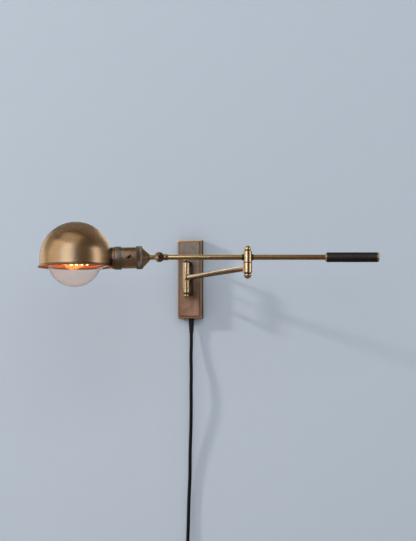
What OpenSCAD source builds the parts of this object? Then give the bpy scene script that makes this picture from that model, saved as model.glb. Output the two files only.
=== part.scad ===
// Swing-arm wall sconce with a cord and plug: a wall plate, two hinged rods, a side-entry dome shade.
// Millimetres. The origin is the middle of the wall face, -Y points into the room, +Z is up.

/* [Wall plate] */
// Width of the wall plate
plate_w = 44; // [36:1:60]
// Height of the wall plate
plate_h = 143; // [120:1:180]
// Depth of the wall plate from the wall to its face
plate_d = 20; // [16:1:28]
// Thickness of the plate's metal
plate_wall = 1.5; // [1:0.1:2.5]
// Width of the sloping border round the face
bevel_w = 3; // [1.5:0.5:5]
// Depth of the sloping border
bevel_d = 2; // [1:0.5:4]
// Width of the fine line cut inside the border
line_w = 0.8; // [0.4:0.1:1.5]
// Depth of the fine line
line_d = 0.5; // [0.2:0.1:0.8]
// Width of the mounting strap behind the plate
strap_w = 30; // [24:1:32]
// Thickness of the strap's steel
strap_t = 1.6; // [1:0.1:2.5]
// Distance between the strap's two wall screws
strap_screws = 88; // [60:1:96]
// Radius of the strap's screw holes
strap_hole_r = 2.4; // [2:0.1:3]
// How far the strap's lips stand out
lip = 11; // [8:0.5:13]
// Radius of the set screws under the plate
set_r = 1.5; // [1:0.1:2]
// Distance between the set screws
set_apart = 26; // [20:1:30]

/* [Wall hinge] */
// Distance of the hinge pin from the wall
pin_reach = 52; // [44:1:70]
// Radius of the hinge pin
pin_r = 2.5; // [2:0.1:3]
// Radius of the turning barrel
barrel_r = 5.85; // [5.5:0.05:7.5]
// Height of the turning barrel
barrel_h = 54; // [40:1:66]
// Width of the bracket's two fingers
finger_w = 10; // [8.5:0.5:14]
// Thickness of the bracket's fingers
finger_t = 2.3; // [1.5:0.1:4]
// Thickness of the bracket's back
bracket_t = 3; // [2:0.5:5]
// Largest radius of the end knobs
knob_r = 4.95; // [4:0.05:7]
// Height of an end knob
knob_h = 7.3; // [5:0.1:12]

/* [Arm] */
// Distance from the wall hinge to the elbow
arm_len = 254; // [180:1:340]
// Radius of both rods
rod_r = 4.5; // [4.2:0.1:5]
// Radius of the rods' inside
rod_bore_r = 3.3; // [2.6:0.1:3.5]
// Angle of the arm out from the wall
arm_angle = 54.3; // [20:0.1:90]
// Largest radius of the rings at the arm's ends
ferrule_r = 5.6; // [5.2:0.1:5.8]
// Length of the rings at the arm's ends
ferrule_len = 4; // [2:0.5:10]

/* [Elbow] */
// Radius of the elbow's two barrels
elbow_r = 7.8; // [7:0.1:10]
// Height of the lower barrel above the arm's line
lower_up = 9.4; // [7:0.1:14]
// Depth of the lower barrel below the arm's line
lower_down = 8.2; // [7:0.1:14]
// Height of the upper barrel
upper_h = 20; // [17:0.5:30]
// Radius of the pivot stud
stud_r = 4; // [3.5:0.1:4.5]
// Radius of the wire's way through the stud
stud_bore_r = 2.4; // [1.5:0.1:2.6]
// Largest radius of the elbow's top knob
top_knob_r = 5.8; // [5:0.1:7]
// Height of the elbow's top knob
top_knob_h = 9.4; // [7:0.1:14]
// Largest radius of the elbow's bottom knob
low_knob_r = 6.7; // [5.5:0.1:7.5]
// Height of the elbow's bottom knob
low_knob_h = 10.4; // [8:0.1:14]

/* [Boom] */
// Angle that the boom makes with the wall
boom_angle = 10.6; // [-20:0.1:40]
// Distance from the elbow to the head's swivel
swivel_reach = 152.7; // [110:0.1:220]
// Distance from the elbow to the weight's near end
weight_from = 137; // [100:1:180]
// Length of the knurled weight
weight_len = 87; // [50:1:100]
// Radius of the weight
weight_r = 8.5; // [7:0.1:11]
// Depth of the weight's knurling
knurl_d = 0.3; // [0.1:0.1:0.5]
// Length of the rings beside the elbow
bush_len = 3.5; // [2:0.5:8]

/* [Swivel] */
// Radius of the swivel's two discs
disc_r = 8.6; // [7.5:0.1:11]
// Thickness of each disc
disc_t = 4.6; // [3.5:0.1:7]
// Radius of the swivel's screw
screw_r = 2.5; // [2:0.1:3]
// Radius of the boom's socket on the swivel
collar_r = 5.3; // [5:0.1:7]
// Radius of the neck on the lampholder's side
neck_r = 4.3; // [3.8:0.1:5]
// Droop of the head below the boom's line
head_droop = 1.2; // [0:0.1:10]

/* [Lampholder] */
// Distance from the swivel to the cap's tip
cap_from = 16; // [13:0.5:24]
// Length of the cap's cone
cone_len = 13; // [8:0.5:20]
// Radius of the knurled bands
band_r = 20; // [19:0.1:24]
// Length of the cap's knurled band
cap_band = 10.4; // [7:0.1:16]
// Radius of the plain body
body_r = 18.4; // [17.8:0.1:19]
// Length of the plain body between the bands
body_len = 26; // [20:0.5:40]
// Length of the front knurled band
front_band = 11.2; // [8:0.1:16]
// Length of the copper ring
ring_len = 4; // [3:0.1:8]
// Radius of the copper ring
ring_r = 18.7; // [16.2:0.1:18.8]
// Thickness of the lampholder's metal
holder_wall = 0.9; // [0.6:0.1:1.1]
// Angle of the turn key's flat wings
key_angle = 55; // [0:5:90]
// Width of the turn key's wings
key_w = 11; // [7:0.5:16]
// Thickness of the turn key's wings
key_t = 3; // [2:0.1:3.8]

/* [Shade] */
// Outer radius of the dome
dome_r = 63; // [58:0.5:75]
// Thickness of the dome's metal
dome_wall = 1; // [0.6:0.1:2]
// Distance from the copper ring to the dome's side
collar_len = 0.5; // [0.4:0.1:4]
// Drop of the dome's middle below the boom
dome_drop = 1.7; // [-2:0.1:3]
// Length of the straight skirt below the middle
skirt_len = 12; // [8:0.5:20]
// How far the lip flares out
lip_out = 2.9; // [1:0.1:8]
// How far the lip drops
lip_drop = 2.9; // [1:0.1:6]
// Radius of the hole for the bulb's neck
shade_hole_r = 13.8; // [13.6:0.1:14]

/* [Bulb] */
// Radius of the glass globe
globe_r = 47.5; // [40:0.5:50]
// Thickness of the glass
glass_t = 0.8; // [0.5:0.1:1.5]
// Distance from the swivel to the globe's middle
globe_reach = 146.3; // [143:0.1:150]
// Distance from the globe's middle to the contact's tip
globe_to_tip = 89.5; // [86:0.5:92]
// Radius of the screw base
base_r = 13.1; // [12.8:0.05:13.2]
// Radius of the curve between the globe and its neck
neck_fillet = 30; // [20:1:40]
// Angle at which the bulb hangs in its holder
bulb_lean = 0.6; // [0:0.1:0.8]
// Radius of the spiral filament
filament_r = 10; // [6:0.5:14]
// Distance between the filament's turns
filament_pitch = 9.2; // [6:0.1:12]
// Radius of the filament's thread
filament_thread_r = 0.8; // [0.4:0.1:1.5]

/* [Cord] */
// Diameter of the cord
cord_d = 6; // [5:0.1:6]
// Place of the cord's outlet across the plate
cord_x = 1; // [-3:0.5:3]
// Distance of the cord's outlet from the wall
cord_out = 8; // [7:0.5:10]
// Length of the tapered strain relief below the plate
relief_len = 26; // [20:1:60]
// Radius of the strain relief at the plate
relief_r = 5; // [4.5:0.1:6]
// Depth of the coil's middle below the plate's middle
coil_down = 604; // [600:2:900]
// Place of the coil's right side, where the cord comes in
coil_x = 37; // [30:1:60]
// Distance of the coil's first layer from the wall
coil_out = 5; // [4:0.5:12]
// Radius of the coil's middle turn
coil_r = 33; // [30:1:36]
// Distance between turns beside each other
turn_step = 7.2; // [6.8:0.1:8]
// Distance between the coil's layers
layer_step = 6.8; // [6.6:0.1:8]

/* [Plug] */
// Width of the plug
plug_w = 24; // [20:0.5:30]
// Thickness of the plug
plug_t = 15; // [12:0.5:20]
// Length of the plug's body
plug_len = 28; // [22:0.5:40]
// Distance between the blades' middles
blade_apart = 12.7; // [12.6:0.1:12.8]
// Length of the blades
blade_len = 17; // [15.9:0.1:18.3]

/* [Hidden] */
$fn = 96;

// Clearances: a running fit, a gap between moving faces, and the seat of a fixed piece.
run = 0.05;
gap = 0.3;
seat = 0.05;
eps = 0.01;
small_fn = 32;
dome_fn = 240;

plate_face = -plate_d;
elbow = [arm_len * cos(arm_angle), -pin_reach - arm_len * sin(arm_angle), 0];
upper_from = lower_up + gap + 0.1;
boom_z = upper_from + 0.45 * upper_h;
holder_mouth = cap_from + cone_len + cap_band + body_len + front_band;
body_from = cap_from + cone_len + cap_band;
ring_to = holder_mouth + ring_len;
dome_reach = ring_to + collar_len + dome_r;
bulb_tip_at = globe_reach - globe_to_tip;
wire_r = 1.8;
wire_hole_r = 2.6;

// Places along the arm, the boom, the head, the bulb and the shade.
module at_hinge() { translate([0, -pin_reach, 0]) children(); }
module along_arm() { at_hinge() rotate([0, 0, -arm_angle]) children(); }
module at_elbow() { translate(elbow) children(); }
module along_boom() { at_elbow() translate([0, 0, boom_z]) rotate([0, 0, boom_angle]) children(); }
module along_head() {
  along_boom() translate([-swivel_reach, 0, 0]) rotate([0, 0, 180]) rotate([0, head_droop, 0]) children();
}
module at_dome() { along_boom() translate([-swivel_reach - dome_reach, 0, -dome_drop]) children(); }
module along_bulb() {
  along_head() translate([bulb_tip_at, 0, 0]) rotate([0, bulb_lean, 0]) children();
}

// A rod or a tube that lies along +X from one place to another.
module rod_x(r, from, to) { translate([from, 0, 0]) rotate([0, 90, 0]) cylinder(r = r, h = to - from); }
module tube_x(r, bore, from, to) {
  difference() {
    rod_x(r, from, to);
    rod_x(bore, from - 1, to + 1);
  }
}
module rod_z(r, from, to) { translate([0, 0, from]) cylinder(r = r, h = to - from); }
module rod_y(r, from, to) { translate([0, from, 0]) rotate([-90, 0, 0]) cylinder(r = r, h = to - from); }

// A straight-knurled ring along +X: its outline is a wave of ribs.
module knurled_x(r, depth, ribs, from, to) {
  points = [for (k = [0 : 2 * ribs - 1]) let (a = 180 * k / ribs, p = r - depth * (k % 2)) [p * cos(a), p * sin(a)]];
  translate([from, 0, 0]) rotate([90, 0, 90]) linear_extrude(to - from) polygon(points);
}

// A turned knob that stands on z = 0: a short neck, a flat-bottomed bead and a round crown.
module knob(r, h, neck, neck_h, bore, bore_h) {
  crown = h - neck_h - 1.2;
  difference() {
    rotate_extrude() {
      square([neck, neck_h + eps]);
      polygon(concat(
        [[0, neck_h], [r * 0.9, neck_h], [r, neck_h + 0.5], [r, neck_h + 1.2]],
        [for (a = [7.5 : 7.5 : 82.5]) [r * cos(a), neck_h + 1.2 + crown * sin(a)]],
        [[0, h]]
      ));
    }
    translate([0, 0, -1]) cylinder(r = bore, h = bore_h + 1);
  }
}

// Wall plate and what is in it
module mounting_strap() {
  half = plate_h / 2 - plate_wall - gap;
  color("silver") difference() {
    union() {
      translate([-strap_w / 2, -strap_t, -half]) cube([strap_w, strap_t, 2 * half]);
      for (s = [-1, 1])
        translate([-strap_w / 2, -lip, s > 0 ? half - strap_t : -half]) cube([strap_w, lip, strap_t]);
    }
    for (s = [-1, 1]) {
      translate([0, -strap_t / 2, s * strap_screws / 2]) rod_y(strap_hole_r, -strap_t, strap_t);
      translate([s * set_apart / 2, -cord_out, -half - 1]) cylinder(r = set_r + seat, h = strap_t + 2);
    }
    translate([cord_x, -cord_out, -half - 1]) cylinder(r = relief_r + 1, h = strap_t + 2);
  }
}

module bevelled_block(w, d, back, cut_w, cut_d) {
  points = [
    [-w / 2, -back], [-w / 2, -(d - cut_d)], [-w / 2 + cut_w, -d],
    [w / 2 - cut_w, -d], [w / 2, -(d - cut_d)], [w / 2, -back]
  ];
  linear_extrude(2 * plate_h, center = true) polygon(points);
}

module wall_plate() {
  inset = bevel_w + line_w / 2;
  color("saddlebrown") difference() {
    intersection() {
      bevelled_block(plate_w, plate_d, 0, bevel_w, bevel_d);
      rotate([0, 90, 0]) bevelled_block(plate_h, plate_d, 0, bevel_w, bevel_d);
    }
    translate([-plate_w / 2 + plate_wall, -plate_d + plate_wall + 0.5, -plate_h / 2 + plate_wall])
      cube([plate_w - 2 * plate_wall, plate_d, plate_h - 2 * plate_wall]);
    difference() {
      translate([-plate_w / 2 + inset, -plate_d - 1, -plate_h / 2 + inset])
        cube([plate_w - 2 * inset, 1 + line_d, plate_h - 2 * inset]);
      translate([-plate_w / 2 + inset + line_w, -plate_d - 2, -plate_h / 2 + inset + line_w])
        cube([plate_w - 2 * (inset + line_w), 4, plate_h - 2 * (inset + line_w)]);
    }
    for (s = [-1, 1]) {
      translate([0, 0, s * bracket_screw_z()]) rod_y(bracket_screw_r + seat, -plate_d - 1, -1);
      translate([s * set_apart / 2, -cord_out, -plate_h / 2 - 1]) cylinder(r = set_r + seat, h = 4);
    }
    rod_y(wire_hole_r, -plate_d - 1, -1);
    translate([cord_x, -cord_out, -plate_h / 2 - 1]) cylinder(r = relief_r - 0.5 + seat, h = 4);
  }
}

module set_screws() {
  color("dimgray") for (s = [-1, 1]) translate([s * set_apart / 2, -cord_out, -plate_h / 2]) {
    rod_z(set_r, -0.5, plate_wall + gap + strap_t + 1.5);
    difference() {
      rod_z(set_r + 1.2, -1.8, 0);
      translate([-3, -0.4, -2.5]) cube([6, 0.8, 1.5]);
    }
  }
}

// Wall hinge
bracket_screw_r = 1.6;
function bracket_screw_z() = barrel_h / 2 - 9;
finger_from = barrel_h / 2 + 0.6;
bracket_half = finger_from + finger_t;

module hinge_bracket() {
  color("sienna") difference() {
    union() {
      translate([-finger_w / 2, plate_face - bracket_t, -bracket_half])
        cube([finger_w, bracket_t, 2 * bracket_half]);
      for (s = [-1, 1]) translate([0, 0, s > 0 ? finger_from : -bracket_half]) {
        translate([-finger_w / 2, -pin_reach, 0]) cube([finger_w, pin_reach + plate_face - eps, finger_t]);
        translate([0, -pin_reach, 0]) cylinder(r = finger_w / 2, h = finger_t);
      }
    }
    at_hinge() rod_z(pin_r + seat, -bracket_half - 1, bracket_half + 1);
    for (s = [-1, 1])
      translate([0, 0, s * bracket_screw_z()]) rod_y(bracket_screw_r + seat, plate_face - bracket_t - 1, 1);
    rod_y(wire_hole_r, plate_face - bracket_t - 1, 1);
  }
}

module bracket_screws() {
  inner_face = -plate_d + plate_wall + 0.5;
  color("silver") for (s = [-1, 1]) translate([0, 0, s * bracket_screw_z()]) {
    rod_y(bracket_screw_r, plate_face - bracket_t + 0.3, inner_face + 0.5);
    rod_y(bracket_screw_r + 1.4, inner_face, inner_face + 1.6);
  }
}

module hinge_pin() {
  color("goldenrod") at_hinge() rod_z(pin_r, -bracket_half - 4, bracket_half + 4);
}

module hinge_washers() {
  color("goldenrod") at_hinge() for (s = [-1, 1]) translate([0, 0, s * (barrel_h / 2 + 0.3)]) difference() {
    cylinder(r = barrel_r - 0.8, h = 0.5, center = true);
    cylinder(r = pin_r + run, h = 2, center = true);
  }
}

module hinge_knob_top() {
  color("goldenrod") at_hinge() translate([0, 0, bracket_half])
    knob(knob_r, knob_h, knob_r * 0.78, 0.7, pin_r + seat, 4.1);
}

module hinge_knob_bottom() {
  color("goldenrod") at_hinge() translate([0, 0, -bracket_half]) mirror([0, 0, 1])
    knob(knob_r, knob_h, knob_r * 0.78, 0.7, pin_r + seat, 4.1);
}

module strain_relief() {
  bore = cord_d / 2 + seat;
  color("black") translate([cord_x, -cord_out, -plate_h / 2]) difference() {
    union() {
      translate([0, 0, -relief_len]) cylinder(r1 = cord_d / 2 + 0.7, r2 = relief_r, h = relief_len);
      rod_z(relief_r - 0.5, -eps, plate_wall);
      rod_z(relief_r + 0.7, plate_wall, plate_wall + 2);
    }
    rod_z(bore, -relief_len - 1, plate_wall + 4);
  }
}

// Two sleeves join the cord's leads, which come from below, to the feed wires above.
connector_from = -40;
connector_len = 16;
connector_apart = 5;
lead_r = 1.1;
wiring_y = -cord_out - 2;
module wire_connectors() {
  color("gold") for (s = [-1, 1]) translate([cord_x + s * connector_apart, wiring_y, connector_from])
    cylinder(r = 2.6, h = connector_len);
}

cord_top = -plate_h / 2 + 8.5;
module cord_leads() {
  rise = connector_from - cord_top - gap;
  color("dimgray") for (s = [-1, 1]) swept([for (u = [0 : 0.125 : 1])
    [cord_x + s * (1.4 + (connector_apart - 1.4) * ease(u)), -cord_out - 2 * ease(u), cord_top + rise * u]
  ], lead_r, 8);
}

// Both feed wires run up side by side, then out through the plate and the bracket to the barrel.
function ease(u) = (1 - cos(180 * u)) / 2;
module feed_wires() {
  from = connector_from + connector_len + gap;
  turn_r = 7;
  color("dimgray") for (s = [-1, 1]) swept(concat(
    [for (u = [0 : 0.125 : 1])
      [s * 1.1 + (cord_x + s * (connector_apart - 1.1)) * (1 - ease(u)), wiring_y, from - (from + turn_r) * u]],
    [for (a = [15 : 15 : 90]) [s * 1.1, wiring_y - turn_r * (1 - cos(a)), -turn_r * (1 - sin(a))]],
    [[s * 1.1, plate_face - bracket_t - 6, 0], [s * 1.1, -pin_reach + barrel_r + gap, 0]]
  ), lead_r - 0.1, 8);
}

// Arm
module arm_barrel() {
  color("goldenrod") difference() {
    at_hinge() rod_z(barrel_r, -barrel_h / 2, barrel_h / 2);
    at_hinge() rod_z(pin_r + run, -barrel_h / 2 - 1, barrel_h / 2 + 1);
    at_hinge() rod_z(barrel_r - 1.4, -barrel_h / 2 + 7, barrel_h / 2 - 7);
    along_arm() rod_x(rod_r + seat, pin_r + 0.2, barrel_r + 2);
    translate([-barrel_r - 1, -pin_reach + 2, -wire_r - 1.2]) cube([2 * barrel_r + 2, barrel_r, 2 * wire_r + 2.4]);
  }
}

module arm_rod() {
  color("darkgoldenrod") difference() {
    along_arm() tube_x(rod_r, rod_bore_r, barrel_r - 1.3, arm_len - elbow_r + 2.5);
    at_hinge() rod_z(barrel_r - 1.3, -10, 10);
  }
}

module arm_ferrule_wall() {
  color("goldenrod") difference() {
    along_arm() tube_x(ferrule_r, rod_r + seat, barrel_r - 3, barrel_r + ferrule_len - 1);
    at_hinge() rod_z(barrel_r + seat, -10, 10);
  }
}

module arm_ferrule_elbow() {
  color("goldenrod") difference() {
    along_arm() tube_x(ferrule_r, rod_r + seat, arm_len - elbow_r - ferrule_len + 1, arm_len - elbow_r + 3);
    at_elbow() rod_z(elbow_r + seat, -10, 10);
  }
}

module arm_wire() {
  color("dimgray") translate([0, 0, wire_r - rod_bore_r + seat])
    along_arm() rod_x(wire_r, barrel_r + 0.5, arm_len - elbow_r);
}

// Elbow
module elbow_lower_barrel() {
  color("goldenrod") difference() {
    at_elbow() {
      rod_z(elbow_r, -lower_down + 0.6, lower_up);
      translate([0, 0, -lower_down]) cylinder(r1 = elbow_r - 0.6, r2 = elbow_r, h = 0.6);
    }
    at_elbow() rod_z(stud_r + run, -lower_down - 1, lower_up + 1);
    along_arm() rod_x(rod_r + seat, arm_len - elbow_r - 2, arm_len - elbow_r + 2.5);
    along_arm() rod_x(wire_r + 0.4, arm_len - elbow_r - 2, arm_len - stud_r);
  }
}

module elbow_washers() {
  color("goldenrod") at_elbow() {
    difference() {
      rod_z(elbow_r - 0.7, lower_up + run, upper_from - run);
      rod_z(stud_r + run, lower_up - 1, upper_from + 1);
    }
    difference() {
      rod_z(elbow_r - 1.8, -lower_down - 0.9, -lower_down - run);
      rod_z(stud_r + run, -lower_down - 2, -lower_down + 1);
    }
  }
}

upper_to = upper_from + upper_h;
module elbow_upper_barrel() {
  color("goldenrod") difference() {
    at_elbow() {
      rod_z(elbow_r, upper_from, upper_to - 0.6);
      translate([0, 0, upper_to - 0.6]) cylinder(r1 = elbow_r, r2 = elbow_r - 0.6, h = 0.6);
    }
    along_boom() rod_x(rod_r + seat, -elbow_r - 2, elbow_r + 2);
    at_elbow() rod_z(stud_r + seat, upper_from - 1, boom_z - rod_r - 0.7);
    at_elbow() rod_z(stud_bore_r, upper_from, boom_z);
    at_elbow() rod_z(screw_r + seat, boom_z, upper_to + 1);
  }
}

stud_end = -lower_down - 5.5;
module elbow_stud() {
  color("darkgoldenrod") at_elbow() difference() {
    union() {
      rod_z(stud_r, -lower_down - 1, boom_z - rod_r - 0.7);
      rod_z(stud_r - 1, stud_end, -lower_down - 0.9);
    }
    rod_z(stud_bore_r, -2, boom_z);
    rotate([0, 0, 180 - arm_angle]) rod_x(wire_r + 0.4, 0, stud_r + 1);
  }
}

module elbow_knob_top() {
  color("goldenrod") at_elbow() {
    translate([0, 0, upper_to]) knob(top_knob_r, top_knob_h, top_knob_r * 0.9, 1.6, 0.5, 0.5);
    rod_z(screw_r, boom_z + rod_r + 0.02, upper_to + 0.6);
  }
}

module elbow_knob_bottom() {
  color("goldenrod") at_elbow() translate([0, 0, -lower_down - 1]) mirror([0, 0, 1])
    knob(low_knob_r, low_knob_h - 1, low_knob_r * 0.85, 1.2, stud_r - 1 + seat, -stud_end - lower_down - 0.9);
}

// Boom
rod_from = -swivel_reach + disc_r + 0.9;
module boom_rod() {
  color("darkgoldenrod") difference() {
    along_boom() tube_x(rod_r, rod_bore_r, rod_from, weight_from + 8);
    at_elbow() rod_z(stud_bore_r, upper_from, boom_z);
  }
}

module boom_bushes() {
  color("goldenrod") difference() {
    along_boom() for (s = [-1, 1]) {
      near = s > 0 ? elbow_r - 1.5 : -elbow_r - bush_len + 1;
      tube_x(rod_r + 0.8, rod_r + seat, near, near + bush_len + 0.5);
    }
    at_elbow() rod_z(elbow_r + seat, upper_from, upper_to);
  }
}

module boom_wire() {
  color("dimgray") along_boom() translate([0, 0, wire_r - rod_bore_r + seat]) rod_x(wire_r, rod_from + 1, 6);
}

weight_to = weight_from + weight_len;
module weight() {
  color([0.12, 0.1, 0.08]) along_boom() difference() {
    knurled_x(weight_r, knurl_d, 60, weight_from, weight_to);
    rod_x(rod_r + seat, weight_from - 1, weight_from + 8);
    rod_x(screw_r + seat, weight_to - 9, weight_to + 1);
  }
}

module weight_ferrule() {
  color("goldenrod") along_boom() difference() {
    translate([weight_from - 3.2, 0, 0]) rotate([0, 90, 0]) cylinder(r1 = rod_r + 0.6, r2 = weight_r, h = 3.2);
    rod_x(rod_r + seat, weight_from - 5, weight_from + 1);
  }
}

module weight_cap() {
  color("goldenrod") along_boom() {
    translate([weight_to, 0, 0]) rotate([0, 90, 0]) knob(weight_r, 4, weight_r - 0.5, 0.3, 0.5, 0.2);
    rod_x(screw_r, weight_to - 8, weight_to + 0.6);
  }
}

// Swivel: the near disc belongs to the boom, the far one to the head.
half_gap = 0.5;
stem_from = disc_r + gap;
module swivel_base() {
  color("saddlebrown") along_boom() translate([-swivel_reach, 0, 0]) difference() {
    union() {
      rod_y(disc_r, -half_gap - disc_t, -half_gap);
      rod_x(collar_r, 0.75 * disc_r, stem_from + 6.6);
    }
    rod_y(stem_from, -half_gap, collar_r + 1);
    rod_y(screw_r + seat, -collar_r - 2, 1);
    rod_x(rod_r + seat, disc_r + 0.9, stem_from + 8);
    rod_x(wire_r + 0.4, stem_from - 1, stem_from + 2);
  }
}

module swivel_screw() {
  head_at = -half_gap - disc_t;
  color("goldenrod") along_boom() translate([-swivel_reach, 0, 0]) difference() {
    union() {
      rod_y(screw_r, head_at - 0.5, half_gap + disc_t + 3.4);
      rod_y(disc_r * 0.6, head_at - 1.6, head_at);
    }
    rotate([0, 45, 0]) translate([-disc_r, head_at - 2, -0.7]) cube([2 * disc_r, 1.2, 1.4]);
  }
}

module swivel_nut() {
  nut_from = half_gap + disc_t + run;
  color("goldenrod") along_boom() translate([-swivel_reach, 0, 0]) difference() {
    translate([0, nut_from, 0]) rotate([-90, 0, 0]) cylinder(r = 5, h = 3, $fn = 6);
    rod_y(screw_r + seat, nut_from - 1, nut_from + 5);
  }
}

module swivel_washer() {
  color("goldenrod") along_boom() translate([-swivel_reach, 0, 0]) difference() {
    rod_y(disc_r - 0.6, -half_gap + run, half_gap - run);
    rod_y(screw_r + run, -2, 2);
  }
}

module swivel_ear() {
  color("goldenrod") along_head() difference() {
    union() {
      rod_y(disc_r, -half_gap - disc_t, -half_gap);
      rod_x(neck_r, 0.75 * disc_r, cap_from);
      rod_x(neck_r - 1, cap_from - 1, cap_from + 6.5);
    }
    rod_y(stem_from, -half_gap, neck_r + 1);
    rod_y(screw_r + run, -disc_t - 2, 1);
    rod_x(1.9, stem_from - 0.5, cap_from + 8);
  }
}

// Lampholder
module cap_nut() {
  from = cap_from + 3.6;
  color("silver") along_head() difference() {
    translate([from, 0, 0]) rotate([0, 90, 0]) cylinder(r = 5.6, h = 2.6, $fn = 6);
    rod_x(neck_r - 1 + seat, from - 1, from + 4);
  }
}

module lampholder_cap() {
  cone_to = cap_from + cone_len;
  color("saddlebrown") along_head() difference() {
    union() {
      translate([cap_from, 0, 0]) rotate([0, 90, 0]) cylinder(r1 = neck_r + 1, r2 = band_r - 0.5, h = cone_len);
      knurled_x(band_r, 0.5, 64, cone_to - eps, body_from);
    }
    translate([cap_from + 3.5, 0, 0]) rotate([0, 90, 0])
      cylinder(r1 = 5.9, r2 = body_r + seat - 1, h = cone_len - 3.5 - holder_wall + 1);
    rod_x(body_r - 1, cone_to - holder_wall, body_from + 1);
    rod_x(body_r + seat, cone_to + 1, body_from + 1);
    rod_x(neck_r - 1 + seat, cap_from - 1, cap_from + 5);
  }
}

switch_at = body_from + body_len / 2;
module lampholder_body() {
  color("peru") along_head() difference() {
    tube_x(body_r, body_r - holder_wall, cap_from + cone_len + 1.5, body_from + body_len + 4.5);
    translate([switch_at, 0, 0]) rod_y(2.4, 5, band_r);
  }
}

module lampholder_ring() {
  step_at = body_from + body_len + 4.6;
  color("saddlebrown") along_head() difference() {
    knurled_x(band_r, 0.5, 64, body_from + body_len, holder_mouth);
    rod_x(body_r + seat, body_from + body_len - 1, step_at);
    rod_x(ring_r + seat, step_at - 1, holder_mouth + 1);
  }
}

insulator_from = body_from + 2.6;
shell_r = base_r + 0.4;
module holder_insulator() {
  color("black") along_head() difference() {
    union() {
      rod_x(body_r - holder_wall - seat, insulator_from, bulb_tip_at - 1.7);
      rod_x(shell_r + 0.9, bulb_tip_at - 2, holder_mouth - 7);
    }
    rod_x(shell_r + 0.5 + seat, bulb_tip_at - 1.7, holder_mouth);
    translate([switch_at, 0, 0]) rod_y(2.1, 6.9, band_r);
  }
}

module screw_shell() {
  color("gold") along_head() tube_x(shell_r + 0.5, shell_r, bulb_tip_at - 1.6, holder_mouth - 5);
}

module centre_contact() {
  color("gold") along_head() {
    rod_x(4, bulb_tip_at - 1.7, bulb_tip_at - 0.9);
    rod_x(2.5, bulb_tip_at - 1, bulb_tip_at - 0.1);
  }
}

module holder_leads() {
  color("dimgray") along_head() for (s = [-1, 1]) {
    reach = [insulator_from - cap_from - 6.5, s * 8, 0];
    translate([cap_from + 6.5, s * 0.95, 0]) rotate([0, 90, atan2(reach[1], reach[0])])
      cylinder(r = 0.8, h = norm(reach) - 0.6);
  }
}

module copper_ring() {
  color("peru") along_head() difference() {
    union() {
      rod_x(ring_r, holder_mouth - 6, ring_to);
      translate([(holder_mouth + ring_to) / 2, 0, 0]) rotate([0, 90, 0])
        cylinder(r = ring_r + 0.4, h = ring_len - 1.6, center = true);
    }
    rod_x(shade_hole_r + 0.4, holder_mouth - 8, ring_to + 1);
  }
}

// Shade
module dome_solid(r, skirt) {
  $fn = dome_fn;
  rotate([0, 0, 130]) {
    intersection() {
      sphere(r);
      cylinder(r = r + 1, h = r + 1);
    }
    translate([0, 0, -skirt]) cylinder(r = r, h = skirt);
  }
}

// The flared lip: a sloping ring that starts inside the skirt's wall.
module lip_ring() {
  root = -skirt_len + 0.4;
  rotate([0, 0, 130]) rotate_extrude() polygon([
    [dome_r - 0.8 * dome_wall, root], [dome_r - 0.2 * dome_wall, root],
    [dome_r + lip_out, -skirt_len - lip_drop + 0.6],
    [dome_r + lip_out, -skirt_len - lip_drop],
    [dome_r + lip_out - 0.9 * dome_wall, -skirt_len - lip_drop]
  ]);
}

collar_r_out = ring_r + 0.1;
module shade_collar() {
  color("saddlebrown") difference() {
    along_head() tube_x(collar_r_out, shade_hole_r + 0.4, ring_to, dome_reach - dome_r + 4);
    at_dome() dome_solid(dome_r + seat, 2 * collar_r_out);
    rivet_holes();
  }
}

rivet_at = (shade_hole_r + 0.4 + collar_r_out) / 2;
module rivet_holes() {
  along_head() for (s = [-1, 1]) rotate([s * 62, 0, 0]) translate([0, 0, rivet_at])
    rod_x(0.8 + seat, ring_to + 1, dome_reach - dome_r + 12);
}

module shade_rivets() {
  color("goldenrod") along_head() for (s = [-1, 1]) rotate([s * 62, 0, 0]) translate([0, 0, rivet_at]) {
    rod_x(0.8, ring_to + 1, dome_reach - dome_r + 4.2);
  }
}

// The lip is trimmed where the copper ring and the collar pass over it.
module shade() {
  color("saddlebrown") difference() {
    union() {
      at_dome() difference() {
        dome_solid(dome_r, skirt_len);
        dome_solid(dome_r - dome_wall, skirt_len + 1);
      }
      difference() {
        at_dome() lip_ring();
        along_head() rod_x(ring_r + 0.7, holder_mouth, dome_reach - dome_r + 1.5);
      }
    }
    along_head() rod_x(shade_hole_r, ring_to - 2, dome_reach - dome_r + 12);
    rivet_holes();
  }
}

// Bulb: +X runs from the contact's tip to the globe.
neck_end_r = base_r + 0.1;
fillet_y = neck_end_r + neck_fillet;
fillet_x = sqrt(pow(globe_r + neck_fillet, 2) - pow(fillet_y, 2));
meet = atan2(fillet_y, fillet_x);

function glass_outline(t) = concat(
  [for (a = [0 : 6 : 180 - meet - 3]) [-(globe_r - t) * cos(a), (globe_r - t) * sin(a)]],
  [for (k = [0 : 6]) let (a = 180 - meet + (meet - 90) * 0, s = meet + (90 - meet) * k / 6)
    [fillet_x - (neck_fillet + t) * cos(s), fillet_y - (neck_fillet + t) * sin(s)]]
);

module glass_solid(t) {
  points = glass_outline(t);
  rotate([0, 90, 0]) mirror([0, 0, 1]) rotate_extrude()
    polygon(concat([for (p = points) [p[1], p[0]]], [[0, points[len(points) - 1][0]]]));
}

module bulb_glass() {
  color([0.9, 0.85, 0.8, 0.4]) along_bulb() translate([globe_to_tip, 0, 0]) difference() {
    glass_solid(0);
    glass_solid(glass_t);
  }
}

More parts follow.
